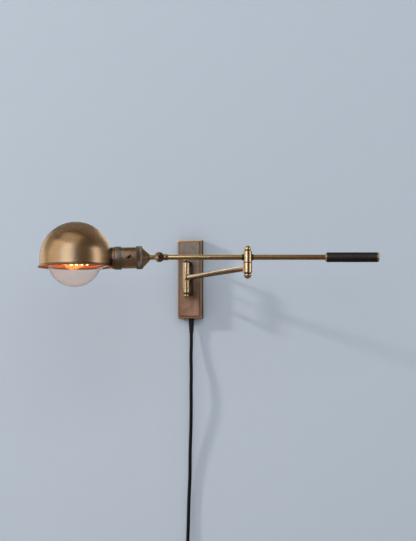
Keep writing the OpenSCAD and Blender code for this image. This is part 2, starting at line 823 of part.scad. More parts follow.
base_to = globe_to_tip - fillet_x;
base_bore_r = base_r - 0.8;
module bulb_base() {
  color("gold") along_bulb() difference() {
    union() {
      rod_x(base_r - 0.3, 6, base_to - eps);
      for (x = [8 : 3.6 : base_to - 3]) rod_x(base_r, x, x + 1.8);
      translate([3, 0, 0]) rotate([0, 90, 0]) cylinder(r1 = base_r - 6, r2 = base_r - 0.3, h = 3.01);
    }
    rod_x(base_bore_r, 7, base_to + 1);
    rod_x(4.2, 1, 9);
  }
}

module bulb_tip() {
  color("dimgray") along_bulb() {
    rod_x(2.4, 0, 1.2);
    rod_x(4.1, 1.1, 8.8);
  }
}

stem_to = globe_to_tip - 30;
module bulb_stem() {
  color([0.9, 0.9, 0.9]) along_bulb() {
    rod_x(base_bore_r - seat, base_to - 5, base_to - 3.6);
    rod_x(3.4, base_to - 3.7, stem_to);
    translate([stem_to, 0, 0]) sphere(3.4);
    rod_x(0.9, stem_to, filament_end + 1.5);
  }
}

// The filament is one thread wound round the bulb's axis, with its ends drawn in to the stem.
filament_turns = 4.5;
filament_rings = 24;
filament_from = globe_to_tip - 24;
filament_end = filament_from + filament_turns * filament_pitch;
filament_steps = filament_turns * filament_rings;
function draw_in(u) = u < 0.5 ? 1.7 + (filament_r - 1.7) * sin(180 * u) : filament_r;
function filament_point(k) =
  let (u = k / filament_rings, v = filament_turns - u, r = min(draw_in(u), draw_in(v)), a = 360 * u)
  [filament_from + filament_pitch * u, r * cos(a), r * sin(a)];
filament_path = [for (k = [0 : filament_steps]) filament_point(k)];

module bulb_filament() {
  color("white") along_bulb() swept(filament_path, filament_thread_r, 6);
}

// Turn key
module turn_key() {
  top = body_r + 11;
  color("goldenrod") along_head() translate([switch_at, 0, 0]) {
    rod_y(2, 7, body_r + 3);
    rotate([0, key_angle, 0]) translate([0, body_r + 2.4, 0]) {
      intersection() {
        translate([-key_w / 2, 0, -key_t / 2]) cube([key_w, top - body_r - 2.4, key_t]);
        translate([0, 2.6, 0]) cylinder(r = key_w / 2 + 0.5, h = key_t, center = true);
      }
    }
  }
}

// Cord. A swept tube is one skin of rings at right angles to its path.
function unit(v) = v / norm(v);
function tangent(p, k) = unit(p[min(k + 1, len(p) - 1)] - p[max(k - 1, 0)]);
function carried(n, t) = unit(n - (n * t) * t);
function frames(p, k, n) =
  k == len(p) ? [] :
  let (t = tangent(p, k), m = carried(n, t)) concat([[t, m]], frames(p, k + 1, m));
function first_normal(t) = carried(abs(t[1]) < 0.9 ? [0, 1, 0] : [1, 0, 0], t);

module swept(path, r, sides) {
  f = frames(path, 0, first_normal(tangent(path, 0)));
  n = len(path);
  points = [for (k = [0 : n - 1]) for (s = [0 : sides - 1])
    let (a = 360 * s / sides, side = cross(f[k][0], f[k][1])) path[k] + r * (cos(a) * f[k][1] + sin(a) * side)];
  walls = [for (k = [0 : n - 2]) for (s = [0 : sides - 1])
    let (a = k * sides + s, b = k * sides + (s + 1) % sides)
    each [[a, a + sides, b + sides], [a, b + sides, b]]];
  first = [for (s = [1 : sides - 2]) [0, s, s + 1]];
  last = [for (s = [1 : sides - 2]) [(n - 1) * sides, (n - 1) * sides + s + 1, (n - 1) * sides + s]];
  polyhedron(points, [for (w = concat(walls, first, last)) [w[0], w[2], w[1]]]);
}

// The coil hangs flat against the wall in four layers, spiralling in and out at a steady rate.
coil_layers = 4;
layer_turns = 2.5;
coil_rings = 24;
coil_turns = coil_layers * layer_turns;
coil_centre = [coil_x - coil_r - layer_turns * turn_step / 2, -coil_out, -coil_down];
// How far a spiral is from its layer's start, from 0 to 1 and back, with rounded turning points.
function swing(u) = let (v = u / layer_turns, w = v - 2 * floor(v / 2)) w < 1 ? w : 2 - w;
round_w = 0.25;
function near_turn(u) = let (k = round(u / layer_turns)) abs(u - k * layer_turns) < round_w && k > 0 && k < coil_layers;
function eased(u) =
  let (k = round(u / layer_turns), x = (u - k * layer_turns) / layer_turns, h = round_w / layer_turns)
  near_turn(u) ? (k % 2 == 1 ? 1 - (x * x + h * h) / (2 * h) : (x * x + h * h) / (2 * h)) : swing(u);
function climb(u) =
  let (k = round(u / layer_turns), x = (u - k * layer_turns) / round_w)
  k < 1 || k >= coil_layers ? floor(u / layer_turns + (k >= coil_layers ? 0 : eps)) * 1 :
  abs(x) < 1 ? k - 1 + (1 - cos(90 * (x + 1))) / 2 : (x > 0 ? k : k - 1);
function layer_at(u) = min(coil_layers - 1, max(0, climb(u)));
function coil_point(u) =
  let (r = coil_r + layer_turns * turn_step * (0.5 - eased(u)), a = -360 * u)
  coil_centre + [r * cos(a), -layer_step * layer_at(u), r * sin(a)];
coil_steps = coil_turns * coil_rings;
coil_start = coil_point(0);
coil_end = coil_point(coil_turns);
tail_len = 34;
coil_path = concat(
  [coil_start + [0, 0, cord_d]],
  [for (k = [0 : coil_steps]) coil_point(k / coil_rings)],
  [for (z = [cord_d, tail_len / 2, tail_len]) coil_end - [0, 0, z]]
);

// The least gap between stretches that lie more than a third of a turn apart.
function least_gap(p, d, apart) = min([
  for (i = [0 : len(p) - 1 - apart]) for (j = [i + apart : len(p) - 1]) norm(p[i] - p[j]) - d
]);
coil_gap = least_gap(coil_path, cord_d, 8);
filament_gap = least_gap(filament_path, 2 * filament_thread_r, 12);
echo(coil_gap = coil_gap, filament_gap = filament_gap, coil_start = coil_start, coil_end = coil_end);

// Route of the hanging cord, from inside the plate to the coil.
relief_end = -plate_h / 2 - relief_len;
cord_path_points = [
  [cord_x, -cord_out, cord_top], [cord_x, -cord_out, -plate_h / 2 - 8.5],
  [cord_x, -cord_out, relief_end - 1.5], [cord_x, -cord_out, relief_end - 6.5],
  [cord_x, -9, relief_end - 25.5], [cord_x, -11, relief_end - 44.5],
  [2, -14, relief_end - 72.5], [2, -15.5, relief_end - 102.5],
  [2, -14.5, -230], [1, -11.5, -268], [-1, -8, -310], [-2, -5.5, -355], [-4, -4.5, -400], [-5, -4.5, -440],
  [-6, -5, -474], [-6, -5, 114 - coil_down], [-2, -coil_out, 94 - coil_down],
  [coil_x - 27, -coil_out, 72 - coil_down], [coil_x - 13, -coil_out, 54 - coil_down],
  [coil_x - 3, -coil_out, 34 - coil_down], [coil_x, -coil_out, 16 - coil_down], coil_start + [0, 0, cord_d]
];

// A smooth curve through the points, with four pieces for each step.
function smooth(p, k, u) =
  let (a = p[max(k - 1, 0)], b = p[k], c = p[k + 1], d = p[min(k + 2, len(p) - 1)])
  0.5 * (2 * b + (c - a) * u + (2 * a - 5 * b + 4 * c - d) * u * u + (3 * b - a - 3 * c + d) * u * u * u);
cord_path = concat(
  [for (k = [0 : len(cord_path_points) - 2]) for (u = [0, 0.5]) smooth(cord_path_points, k, u)],
  [cord_path_points[len(cord_path_points) - 1]]
);

module cord_drop() {
  color([0.1, 0.1, 0.1]) swept(cord_path, cord_d / 2, 10);
}

module cord_coil() {
  color([0.1, 0.1, 0.1]) swept(coil_path, cord_d / 2, 6);
}

// A flat tie round the bundle at the top of the coil.
tie_w = 12;
tie_t = 1;
module cord_tie() {
  across = layer_turns * turn_step + cord_d + 2 * gap + 1;
  deep = (coil_layers - 1) * layer_step + cord_d + 2 * gap;
  color("dimgray") translate(coil_centre + [0, cord_d / 2 + gap, coil_r]) difference() {
    translate([-tie_w / 2, -deep - tie_t, -across / 2 - tie_t])
      cube([tie_w, deep + 2 * tie_t, across + 2 * tie_t]);
    translate([-tie_w, -deep, -across / 2]) cube([2 * tie_w, deep, across]);
  }
}

// Plug
plug_top = coil_end - [0, 0, tail_len];
module plug_body() {
  corner = plug_t / 2 - 1;
  color([0.08, 0.08, 0.08]) translate(plug_top) {
    translate([0, 0, -16]) cylinder(r1 = 6.5, r2 = cord_d / 2 + 0.6, h = 16);
    translate([0, 0, -16 - plug_len]) linear_extrude(plug_len + eps) {
      square([plug_w - 2 * corner, plug_t], center = true);
      square([plug_w, plug_t - 2 * corner], center = true);
      for (x = [-1, 1]) for (y = [-1, 1])
        translate([x * (plug_w / 2 - corner), y * (plug_t / 2 - corner)]) circle(corner, $fn = small_fn);
    }
  }
}

module plug_blades() {
  color("silver") translate(plug_top - [0, 0, 16 + plug_len]) for (s = [-1, 1])
    translate([s * blade_apart / 2, 0, -blade_len / 2]) difference() {
      cube([1.5, s > 0 ? 6.35 : 7.9, blade_len], center = true);
      translate([0, 0, -4]) rotate([0, 90, 0]) cylinder(r = 1.6, h = 4, center = true);
    }
}

mounting_strap();
wall_plate();
set_screws();
hinge_bracket();
bracket_screws();
hinge_pin();
hinge_washers();
hinge_knob_top();
hinge_knob_bottom();
strain_relief();
wire_connectors();
cord_leads();
feed_wires();
arm_barrel();
arm_rod();
arm_ferrule_wall();
arm_ferrule_elbow();
arm_wire();
elbow_lower_barrel();
elbow_washers();
elbow_upper_barrel();
elbow_stud();
elbow_knob_top();
elbow_knob_bottom();
boom_rod();
boom_bushes();
boom_wire();
weight();
weight_ferrule();
weight_cap();
swivel_base();
swivel_screw();
swivel_nut();
swivel_washer();
swivel_ear();
cap_nut();
lampholder_cap();
lampholder_body();
lampholder_ring();
holder_insulator();
screw_shell();
centre_contact();
holder_leads();
copper_ring();
shade_collar();
shade_rivets();
shade();
bulb_glass();
bulb_base();
bulb_tip();
bulb_stem();
bulb_filament();
turn_key();
cord_drop();
cord_coil();
cord_tie();
plug_body();
plug_blades();
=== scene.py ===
import math
import bmesh
import bpy
import numpy as np
from mathutils import Matrix, Vector


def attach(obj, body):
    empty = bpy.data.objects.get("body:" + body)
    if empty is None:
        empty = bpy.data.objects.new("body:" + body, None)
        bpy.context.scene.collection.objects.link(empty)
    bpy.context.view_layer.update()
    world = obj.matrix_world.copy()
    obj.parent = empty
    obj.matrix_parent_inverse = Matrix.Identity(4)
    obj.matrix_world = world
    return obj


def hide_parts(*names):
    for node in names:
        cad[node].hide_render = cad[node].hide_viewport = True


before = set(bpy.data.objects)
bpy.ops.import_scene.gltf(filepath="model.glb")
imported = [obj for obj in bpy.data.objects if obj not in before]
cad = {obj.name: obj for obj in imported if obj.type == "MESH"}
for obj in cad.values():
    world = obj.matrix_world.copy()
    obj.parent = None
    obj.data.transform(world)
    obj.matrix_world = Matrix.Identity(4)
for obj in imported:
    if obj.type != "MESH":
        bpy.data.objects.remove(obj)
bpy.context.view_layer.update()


# Camera: it looks slightly up at the wall from the right of the lamp, through a long lens. Its place, turn
# and lens are those that put the plate, the hinge, the elbow and the boom where the photo shows them.
camera_data = bpy.data.cameras.new("camera")
camera_data.lens = 192.6
camera_data.sensor_width = 36
camera_data.clip_end = 60
camera = bpy.data.objects.new("camera", camera_data)
bpy.context.scene.collection.objects.link(camera)
camera.matrix_world = Matrix((
    (0.98294, 0.01379, 0.18343, 0.998),
    (0.18395, -0.07370, -0.98017, -5.171),
    (0.0, 0.99719, -0.07498, -0.379),
    (0.0, 0.0, 0.0, 1.0),
))
bpy.context.scene.camera = camera


# Cord: 6 mm black sheathed cord. It leaves the plate through the strain relief and hangs along the wall, and
# the length that isn't needed is wound in a flat round coil with the plug below it.
MM = 0.001


def piece(name, shape, material, body, stands_for=(), smooth=40):
    """A mesh object from points in millimetres and faces, with its poles closed, its faces outwards and the
    edges that are sharper than `smooth` degrees kept crisp."""
    points, faces = shape
    mesh = bpy.data.meshes.new(name)
    mesh.from_pydata((np.asarray(points) * MM).tolist(), [], faces)
    cleaned = bmesh.new()
    cleaned.from_mesh(mesh)
    bmesh.ops.remove_doubles(cleaned, verts=cleaned.verts[:], dist=5e-7)
    bmesh.ops.recalc_face_normals(cleaned, faces=cleaned.faces[:])
    cleaned.to_mesh(mesh)
    cleaned.free()
    mesh.polygons.foreach_set("use_smooth", np.ones(len(mesh.polygons), bool))
    mesh.set_sharp_from_angle(angle=math.radians(smooth))
    obj = bpy.data.objects.new(name, mesh)
    bpy.context.scene.collection.objects.link(obj)
    obj.data.materials.append(material)
    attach(obj, body)
    if stands_for:
        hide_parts(*stands_for)
    return obj


def sheet_of(grid, around, ends="fan"):
    """Points and faces of a grid of rows and columns. `around` joins the last column to the first. The first
    and last rows are closed with one face each for "fan", joined to each other for "loop" and left as they
    are for "open"."""
    rows, cols = grid.shape[:2]
    index = np.arange(rows * cols).reshape(rows, cols)
    if ends == "loop":
        index = np.vstack([index, index[:1]])
    a = index[:-1, :] if around else index[:-1, :-1]
    b = np.roll(index, -1, 1)[:-1, :] if around else index[:-1, 1:]
    c = np.roll(index, -1, 1)[1:, :] if around else index[1:, 1:]
    d = index[1:, :] if around else index[1:, :-1]
    faces = np.stack([a, b, c, d], -1).reshape(-1, 4).tolist()
    if ends == "fan":
        faces += [index[0, ::-1].tolist(), index[-1].tolist()]
    return grid.reshape(-1, 3), faces


def smooth_route(points, steps):
    """The cubic curve through the points, whose slope at each is half the way from the one before it to the
    one after it."""
    p = np.vstack([points[:1], points, points[-1:]])
    u = (np.arange(steps) / steps)[None, :, None]
    a, b, c, d = p[:-3, None], p[1:-2, None], p[2:-1, None], p[3:, None]
    curve = 0.5 * (2 * b + (c - a) * u + (2 * a - 5 * b + 4 * c - d) * u**2 + (3 * b - a - 3 * c + d) * u**3)
    return np.vstack([curve.reshape(-1, 3), points[-1:]])


def tube_along(path, radius, sides, reference):
    """Rings square to the path: path + r (n cos v + m sin v). n is the reference made square to the path's
    slope, and m is square to both."""
    slope = np.gradient(path, axis=0)
    slope /= np.linalg.norm(slope, axis=1, keepdims=True)
    n = np.asarray(reference, float) - slope * (slope @ np.asarray(reference, float))[:, None]
    n /= np.linalg.norm(n, axis=1, keepdims=True)
    m = np.cross(slope, n)
    v = np.linspace(0, 2 * np.pi, sides, endpoint=False)[None, :, None]
    r = np.broadcast_to(np.asarray(radius, float), (len(path),))[:, None, None]
    return path[:, None] + r * (np.cos(v) * n[:, None] + np.sin(v) * m[:, None])


coil_middle = np.array([-5.0, -5.0, -604.0])
coil_radius, turn_step, layer_step, layer_turns, layers = 33.0, 7.2, 6.8, 2.5, 4
route = np.array([
    [1, -8, -86], [1, -8, -99], [1, -8, -104], [1, -9, -123], [1, -11, -142], [2, -14, -170],
    [2, -15.5, -200], [2, -14.5, -230], [1, -11.5, -268], [-1, -8, -310], [-2, -5.5, -355], [-4, -4.5, -400],
    [-5, -4.5, -440], [-6, -5, -474], [-6, -5, -490], [-2, -5, -510], [10, -5, -532], [24, -5, -550],
    [34, -5, -570], [37, -5, -588], [37, -5, -598],
], float)
# The coil winds inwards in one layer and outwards in the next: `swing` goes from 0 to 1 and back to 0, and
# the radius falls as it rises. For `change` turns before and after a new layer a parabola rounds the swing's
# corner, and half a cosine wave takes the cord out by one layer.
steps_a_turn, change = 48, 0.25
turn = np.arange(0, layers * layer_turns + 1e-6, 1 / steps_a_turn)
near = np.round(turn / layer_turns)
off = turn - near * layer_turns
inside = (np.abs(off) < change) & (near > 0) & (near < layers)
saw = (turn / layer_turns) % 2
swing = np.where(saw < 1, saw, 2 - saw)
share = change / layer_turns
bend = ((off / layer_turns) ** 2 + share**2) / (2 * share)
swing = np.where(inside, np.where(near % 2 == 1, 1 - bend, bend), swing)
climb = np.where(inside, near - 1 + (1 - np.cos(np.pi / 2 * (off / change + 1))) / 2,
                 np.minimum(np.floor(turn / layer_turns + 1e-9), layers - 1))
reach = coil_radius + layer_turns * turn_step * (0.5 - swing)
angle = -2 * np.pi * turn
coil = coil_middle + np.stack([reach * np.cos(angle), -layer_step * climb, reach * np.sin(angle)], -1)
tail = coil[-1] - np.array([[0, 0, 6], [0, 0, 14], [0, 0, 22], [0, 0, 34.0]])
cord_line = np.vstack([smooth_route(route, 8), coil, tail])

cord_black = bpy.data.materials.new("cord_black")


def plain_nodes(material, colour, rough, metal=0.0):
    """The material's shader with its plain values set on it; returns the nodes, the links and the shader."""
    material.use_nodes = True
    nodes, links = material.node_tree.nodes, material.node_tree.links
    shader = nodes["Principled BSDF"]
    shader.inputs["Base Color"].default_value = (*colour, 1)
    shader.inputs["Roughness"].default_value = rough
    shader.inputs["Metallic"].default_value = metal
    return nodes, links, shader


def speckle(nodes, links, scale, detail=3.0, stretch=(1, 1, 1), turn_z=0.0, rough=0.5):
    """Noise on the object's own coordinates, in metres, stretched along the axes and turned about the
    upright."""
    place = nodes.new("ShaderNodeTexCoord")
    mapping = nodes.new("ShaderNodeMapping")
    mapping.inputs["Scale"].default_value = stretch
    mapping.inputs["Rotation"].default_value = (0, 0, turn_z)
    noise = nodes.new("ShaderNodeTexNoise")
    noise.inputs["Scale"].default_value = scale
    noise.inputs["Detail"].default_value = detail
    noise.inputs["Roughness"].default_value = rough
    links.new(place.outputs["Object"], mapping.inputs["Vector"])
    links.new(mapping.outputs["Vector"], noise.inputs["Vector"])
    return noise.outputs["Fac"]


def graded(nodes, links, value, low, high, colours):
    """A colour between two or more colours, as a value goes from low to high."""
    ramp = nodes.new("ShaderNodeValToRGB")
    spots = np.linspace(low, high, len(colours))
    while len(ramp.color_ramp.elements) < len(colours):
        ramp.color_ramp.elements.new(0.5)
    for element, spot, colour in zip(ramp.color_ramp.elements, spots, colours):
        element.position = float(spot)
        element.color = (*colour, 1)
    links.new(value, ramp.inputs["Fac"])
    return ramp.outputs["Color"]


def ranged(nodes, links, value, low, high, to_low, to_high):
    """A number that goes from to_low to to_high as a value goes from low to high."""
    ramp = nodes.new("ShaderNodeMapRange")
    for socket, number in zip(("From Min", "From Max", "To Min", "To Max"), (low, high, to_low, to_high)):
        ramp.inputs[socket].default_value = number
    links.new(value, ramp.inputs["Value"])
    return ramp.outputs["Result"]


def bumped(nodes, links, shader, height, strength, distance):
    """A small relief on the surface from a height value."""
    bump = nodes.new("ShaderNodeBump")
    bump.inputs["Strength"].default_value = strength
    bump.inputs["Distance"].default_value = distance
    links.new(height, bump.inputs["Height"])
    links.new(bump.outputs["Normal"], shader.inputs["Normal"])


nodes, links, shader = plain_nodes(cord_black, (0.005, 0.005, 0.006), 0.5)
shader.inputs["Specular IOR Level"].default_value = 0.1
grain = speckle(nodes, links, 420, 4)
links.new(graded(nodes, links, grain, 0.3, 0.75, [(0.003, 0.003, 0.004), (0.008, 0.008, 0.009)]),
          shader.inputs["Base Color"])
links.new(ranged(nodes, links, speckle(nodes, links, 60), 0.3, 0.7, 0.40, 0.56), shader.inputs["Roughness"])
bumped(nodes, links, shader, grain, 0.12, 0.0002)

cord_radius = 3.0
shape = sheet_of(tube_along(cord_line, cord_radius, 20, (0, 1, 0)), True)
cord = piece("cord", shape, cord_black, "wall_mount", ("cord_drop", "cord_coil"), 60)


# Cord tie: a woven hook-and-loop band round the bundle at the top of the coil. It is pressed down on itself,
# and its grip holds the turns together.
def rounded_box_ring(width, height, radius, count):
    """Points round a rectangle with rounded corners, counter-clockwise, `count` to each corner."""
    v = np.linspace(0, np.pi / 2, count)
    turns = np.arange(4)[:, None] * np.pi / 2
    a = v[None, :] + turns
    corners = np.array([[1, 1], [-1, 1], [-1, -1], [1, -1]])
    middle = corners * np.array([width / 2 - radius, height / 2 - radius])
    return (middle[:, None] + radius * np.stack([np.cos(a), np.sin(a)], -1)).reshape(-1, 2)


def band(outline, width, thick, edge):
    """A strap of rounded section carried round an outline. Rows go round the section, columns round the
    outline."""
    nxt, before = np.roll(outline, -1, 0), np.roll(outline, 1, 0)
    slope = nxt - before
    slope /= np.linalg.norm(slope, axis=1, keepdims=True)
    out = np.stack([slope[:, 1], -slope[:, 0]], -1)
    section = rounded_box_ring(width, thick, edge, 4)
    ring = outline[:, None] + out[:, None] * (section[None, :, 1:] + thick / 2)
    across = np.broadcast_to(section[None, :, :1], (len(outline), len(section), 1))
    return np.concatenate([across, ring], -1).transpose(1, 0, 2)


tie_weave = bpy.data.materials.new("tie_weave")
nodes, links, shader = plain_nodes(tie_weave, (0.02, 0.02, 0.022), 0.85)
shader.inputs["Sheen Weight"].default_value = 0.25
threads = nodes.new("ShaderNodeTexWave")
threads.inputs["Scale"].default_value = 900
threads.inputs["Distortion"].default_value = 1.5
threads.inputs["Detail"].default_value = 2
place = nodes.new("ShaderNodeTexCoord")
links.new(place.outputs["Object"], threads.inputs["Vector"])
tie_colours = [(0.010, 0.010, 0.011), (0.035, 0.035, 0.038)]
links.new(graded(nodes, links, threads.outputs["Fac"], 0.2, 0.9, tie_colours), shader.inputs["Base Color"])
bumped(nodes, links, shader, threads.outputs["Fac"], 0.5, 0.0002)

bundle_wide, bundle_deep = layer_turns * turn_step + 7.6, (layers - 1) * layer_step + 6.6
outline = rounded_box_ring(bundle_deep, bundle_wide, 4.5, 10)
tie_width, tie_thick = 12, 1.0
middle_z = coil_middle[2] + coil_radius
points, faces = sheet_of(band(outline, tie_width, tie_thick, 0.4), True, "loop")
points = points + np.array([coil_middle[0], coil_middle[1] + 3.3 - bundle_deep / 2, middle_z])
tie = piece("cord_tie_band", (points, faces), tie_weave, "wall_mount", ("cord_tie",), 50)


# Plug: a moulded two-pin plug with a ridged, tapered neck and a grooved grip. Its two flat blades are stamped
# from brass strip and keep their solids.
plug_black = bpy.data.materials.new("plug_black")
nodes, links, shader = plain_nodes(plug_black, (0.014, 0.014, 0.015), 0.42)
grain = speckle(nodes, links, 900, 4)
links.new(graded(nodes, links, grain, 0.3, 0.8, [(0.011, 0.011, 0.012), (0.020, 0.020, 0.021)]),
          shader.inputs["Base Color"])
links.new(ranged(nodes, links, grain, 0.2, 0.8, 0.36, 0.55), shader.inputs["Roughness"])
bumped(nodes, links, shader, grain, 0.2, 0.0002)

plug_top = tail[-1]
neck_length, neck_top, neck_foot, grip_wide, grip_thick = 16, 3.6, 6.5, 12, 7.5
relief_deep, ends_in = 0.35, 0.8
z = np.concatenate([[0, -0.4], np.linspace(-1.5, -13, 24), [-neck_length], np.linspace(-18, -38, 42),
                    [-42.8, -44, -44]])
on_neck, on_grip = np.clip(-z / neck_length, 0, 1), np.clip((-z - neck_length) / 3, 0, 1)
neck = neck_top + (neck_foot - neck_top) * on_neck**2
grip_share = np.sin(on_grip * np.pi / 2)
wide, thick = [np.where(z > -neck_length, neck, neck_foot + (grip_half - neck_foot) * grip_share)
               for grip_half in (grip_wide, grip_thick)]
ridges = np.where((z < -1.4) & (z > -13.2), relief_deep * np.cos((z + 1.5) * 2 * np.pi / 2.3), 0)
grooves = np.where((z < -22) & (z > -36), -relief_deep * (0.5 - 0.5 * np.cos((z + 22) * 2 * np.pi / 2.8)), 0)
wide, thick = wide + ridges + grooves, thick + ridges
wide[[0, -1]] -= ends_in
thick[[0, -1]] -= ends_in
v = np.linspace(0, 2 * np.pi, 72, endpoint=False)
square = 1 / (np.abs(np.cos(v)) ** 5 + np.abs(np.sin(v)) ** 5) ** 0.2
corner = 1 + (square - 1) * np.clip((-z - 12) / 8, 0, 1)[:, None]
body = np.stack([wide[:, None] * np.cos(v) * corner, thick[:, None] * np.sin(v) * corner,
                 np.broadcast_to(z[:, None], (len(z), len(v)))], -1) + plug_top
plug = piece("plug", sheet_of(body, True), plug_black, "wall_mount", ("plug_body",), 45)

blade_brass = bpy.data.materials.new("blade_brass")
nodes, links, shader = plain_nodes(blade_brass, (0.62, 0.50, 0.27), 0.28, 1.0)
lines = speckle(nodes, links, 1, 4, (400, 3000, 120))
links.new(graded(nodes, links, lines, 0.3, 0.7, [(0.52, 0.41, 0.21), (0.70, 0.58, 0.33)]),
          shader.inputs["Base Color"])
links.new(ranged(nodes, links, lines, 0.3, 0.7, 0.22, 0.38), shader.inputs["Roughness"])
cad["plug_blades"].data.materials[0] = blade_brass


# Strain relief: a moulded black sleeve that narrows downwards, with flexing grooves round it. It is pushed
# into the plate's lower edge, and the cord runs through it.
def turned(profile, sides=96):
    """A turned shape: each (height, radius) pair of the profile is carried once round the upright axis."""
    profile = np.asarray(profile, float)
    v = np.linspace(0, 2 * np.pi, sides, endpoint=False)
    r, h = profile[:, 1:], profile[:, :1]
    return np.stack([r * np.cos(v), r * np.sin(v), np.broadcast_to(h, (len(profile), sides))], -1)


def eased(profile, radius, steps=5):
    """The profile with each corner p replaced by the curve (1-t)^2 a + 2t(1-t) p + t^2 b, which starts and
    ends at most `radius` from it."""
    p = np.asarray(profile, float)
    before, after = p[:-2] - p[1:-1], p[2:] - p[1:-1]
    a, b = [p[1:-1] + side * np.minimum(radius / np.linalg.norm(side, axis=1, keepdims=True), 0.45)
            for side in (before, after)]
    t = np.linspace(0, 1, steps)[None, :, None]
    bends = (1 - t) ** 2 * a[:, None] + 2 * t * (1 - t) * p[1:-1, None] + t**2 * b[:, None]
    return np.vstack([p[:1], bends.reshape(-1, 2), p[-1:]])


relief_black = bpy.data.materials.new("relief_black")
nodes, links, shader = plain_nodes(relief_black, (0.006, 0.006, 0.007), 0.5)
shader.inputs["Specular IOR Level"].default_value = 0.2
grain = speckle(nodes, links, 700, 4)
links.new(graded(nodes, links, grain, 0.3, 0.8, [(0.004, 0.004, 0.005), (0.010, 0.010, 0.011)]),
          shader.inputs["Base Color"])
bumped(nodes, links, shader, grain, 0.2, 0.0002)
sleeve_length, sleeve_foot, sleeve_top, sleeve_bore, sleeve_plug = 26, 3.7, 5.0, 3.05, 4.4
z = np.linspace(-sleeve_length, -2.5, 80)
groove = relief_deep * np.clip(np.cos((z + 4) * 2 * np.pi / 3.6) - 0.2, 0, 1) * (z > -23)
r = sleeve_foot + (sleeve_top - sleeve_foot) * (z + sleeve_length) / sleeve_length - groove
profile = np.vstack([[[-sleeve_length, sleeve_bore]], np.stack([z, r], -1),
                     [[-0.2, sleeve_top], [-0.1, sleeve_plug], [3.5, sleeve_plug], [3.5, sleeve_bore]]])
shape = sheet_of(turned(profile, 64) + np.array([1, -8, -71.5]), True, "loop")
relief = piece("strain_relief_sleeve", shape, relief_black, "wall_mount", ("strain_relief",), 60)


# Wall plate: a shallow pressed brass box with a sloping border and a fine line inside it. It is brushed
# upright and then darkened, and its border is rubbed back to bright copper-brown.
def brushed_metal(name, dark, light, rough, stretch, turn_z=0.0, tarnish=0.5, relief=0.05):
    """Metal with fine brush lines along one direction, uneven darkening over them, and a roughness that
    follows the darkening."""
    material = bpy.data.materials.new(name)
    nodes, links, shader = plain_nodes(material, light, rough, 1.0)
    lines = speckle(nodes, links, 1, 4, stretch, turn_z)
    cloud = speckle(nodes, links, 34, 5, rough=0.6)
    both = nodes.new("ShaderNodeMix")
    both.inputs["Factor"].default_value = tarnish
    links.new(lines, both.inputs["A"])
    links.new(cloud, both.inputs["B"])
    colour = graded(nodes, links, both.outputs["Result"], 0.36, 0.64, [dark, light])
    links.new(colour, shader.inputs["Base Color"])
    links.new(ranged(nodes, links, cloud, 0.3, 0.7, rough + 0.08, rough - 0.06), shader.inputs["Roughness"])
    bumped(nodes, links, shader, lines, relief, 0.0002)
    return material


def fed(links, socket, value):
    """A socket given another node's output, a colour or a number."""
    if isinstance(value, bpy.types.NodeSocket):
        links.new(value, socket)
    else:
        socket.default_value = (*value, 1) if isinstance(value, tuple) else value


def worked(nodes, links, way, *values, clamp=False):
    """A number worked out of others, such as the greater of two."""
    node = nodes.new("ShaderNodeMath")
    node.operation, node.use_clamp = way, clamp
    for socket, value in zip(node.inputs, values):
        fed(links, socket, value)
    return node.outputs[0]


def mixed(nodes, links, share, first, second, way="MIX"):
    """A colour that goes from the first to the second, or to their product, as the share goes from 0 to 1."""
    node = nodes.new("ShaderNodeMix")
    node.data_type, node.blend_type = "RGBA", way
    for socket, value in ((0, share), (6, first), (7, second)):
        fed(links, node.inputs[socket], value)
    return node.outputs[2]


def axes_of(nodes, links, kind="Object"):
    """A point's three coordinates in metres, as outputs X, Y and Z, or a direction's for "Generated"."""
    place, parts = nodes.new("ShaderNodeTexCoord"), nodes.new("ShaderNodeSeparateXYZ")
    links.new(place.outputs[kind], parts.inputs["Vector"])
    return parts.outputs


plate_wide, plate_high, plate_deep = 44, 143, 20.0


def plate_rings(insets, depths, corner=0.7):
    """Rounded rectangles one inside the other: each is the plate's outline moved in by an inset, at a
    depth."""
    rings = [rounded_box_ring(plate_wide - 2 * i, plate_high - 2 * i, corner, 6) for i in insets]
    return np.stack([np.stack([ring[:, 0], np.full(len(ring), -depth), ring[:, 1]], -1)
                     for ring, depth in zip(rings, depths)])


# The border's share rises over less than a millimetre, at 19 mm from the middle of the width and at 69 mm
# from the middle of the height, and only near the front. The metal under it gets redder downwards: a painted
# warm glow of the bulb's light on the plate's lower part.
plate_brass = brushed_metal("plate_brass", (0.125, 0.096, 0.064), (0.272, 0.210, 0.140), 0.42, (1500, 60, 28),
                            relief=0.04)
nodes, links = plate_brass.node_tree.nodes, plate_brass.node_tree.links
face = nodes["Principled BSDF"].inputs["Base Color"]
at = axes_of(nodes, links)
side_border = ranged(nodes, links, worked(nodes, links, "ABSOLUTE", at["X"]), 0.0188, 0.0196, 0, 1)
end_border = ranged(nodes, links, worked(nodes, links, "ABSOLUTE", at["Z"]), 0.0683, 0.0691, 0, 1)
front = ranged(nodes, links, at["Y"], -0.0168, -0.0176, 0, 1)
border = worked(nodes, links, "MULTIPLY", worked(nodes, links, "MAXIMUM", side_border, end_border), front)
painted_glow_share = ranged(nodes, links, at["Z"], 0.02, -0.04, 0, 1)
painted_warm_glow = mixed(nodes, links, painted_glow_share, face.links[0].from_socket, (1.0, 0.82, 0.74), "MULTIPLY")
bright = mixed(nodes, links, end_border, (0.36, 0.215, 0.11), (0.88, 0.56, 0.31))
links.new(mixed(nodes, links, border, painted_warm_glow, bright), face)

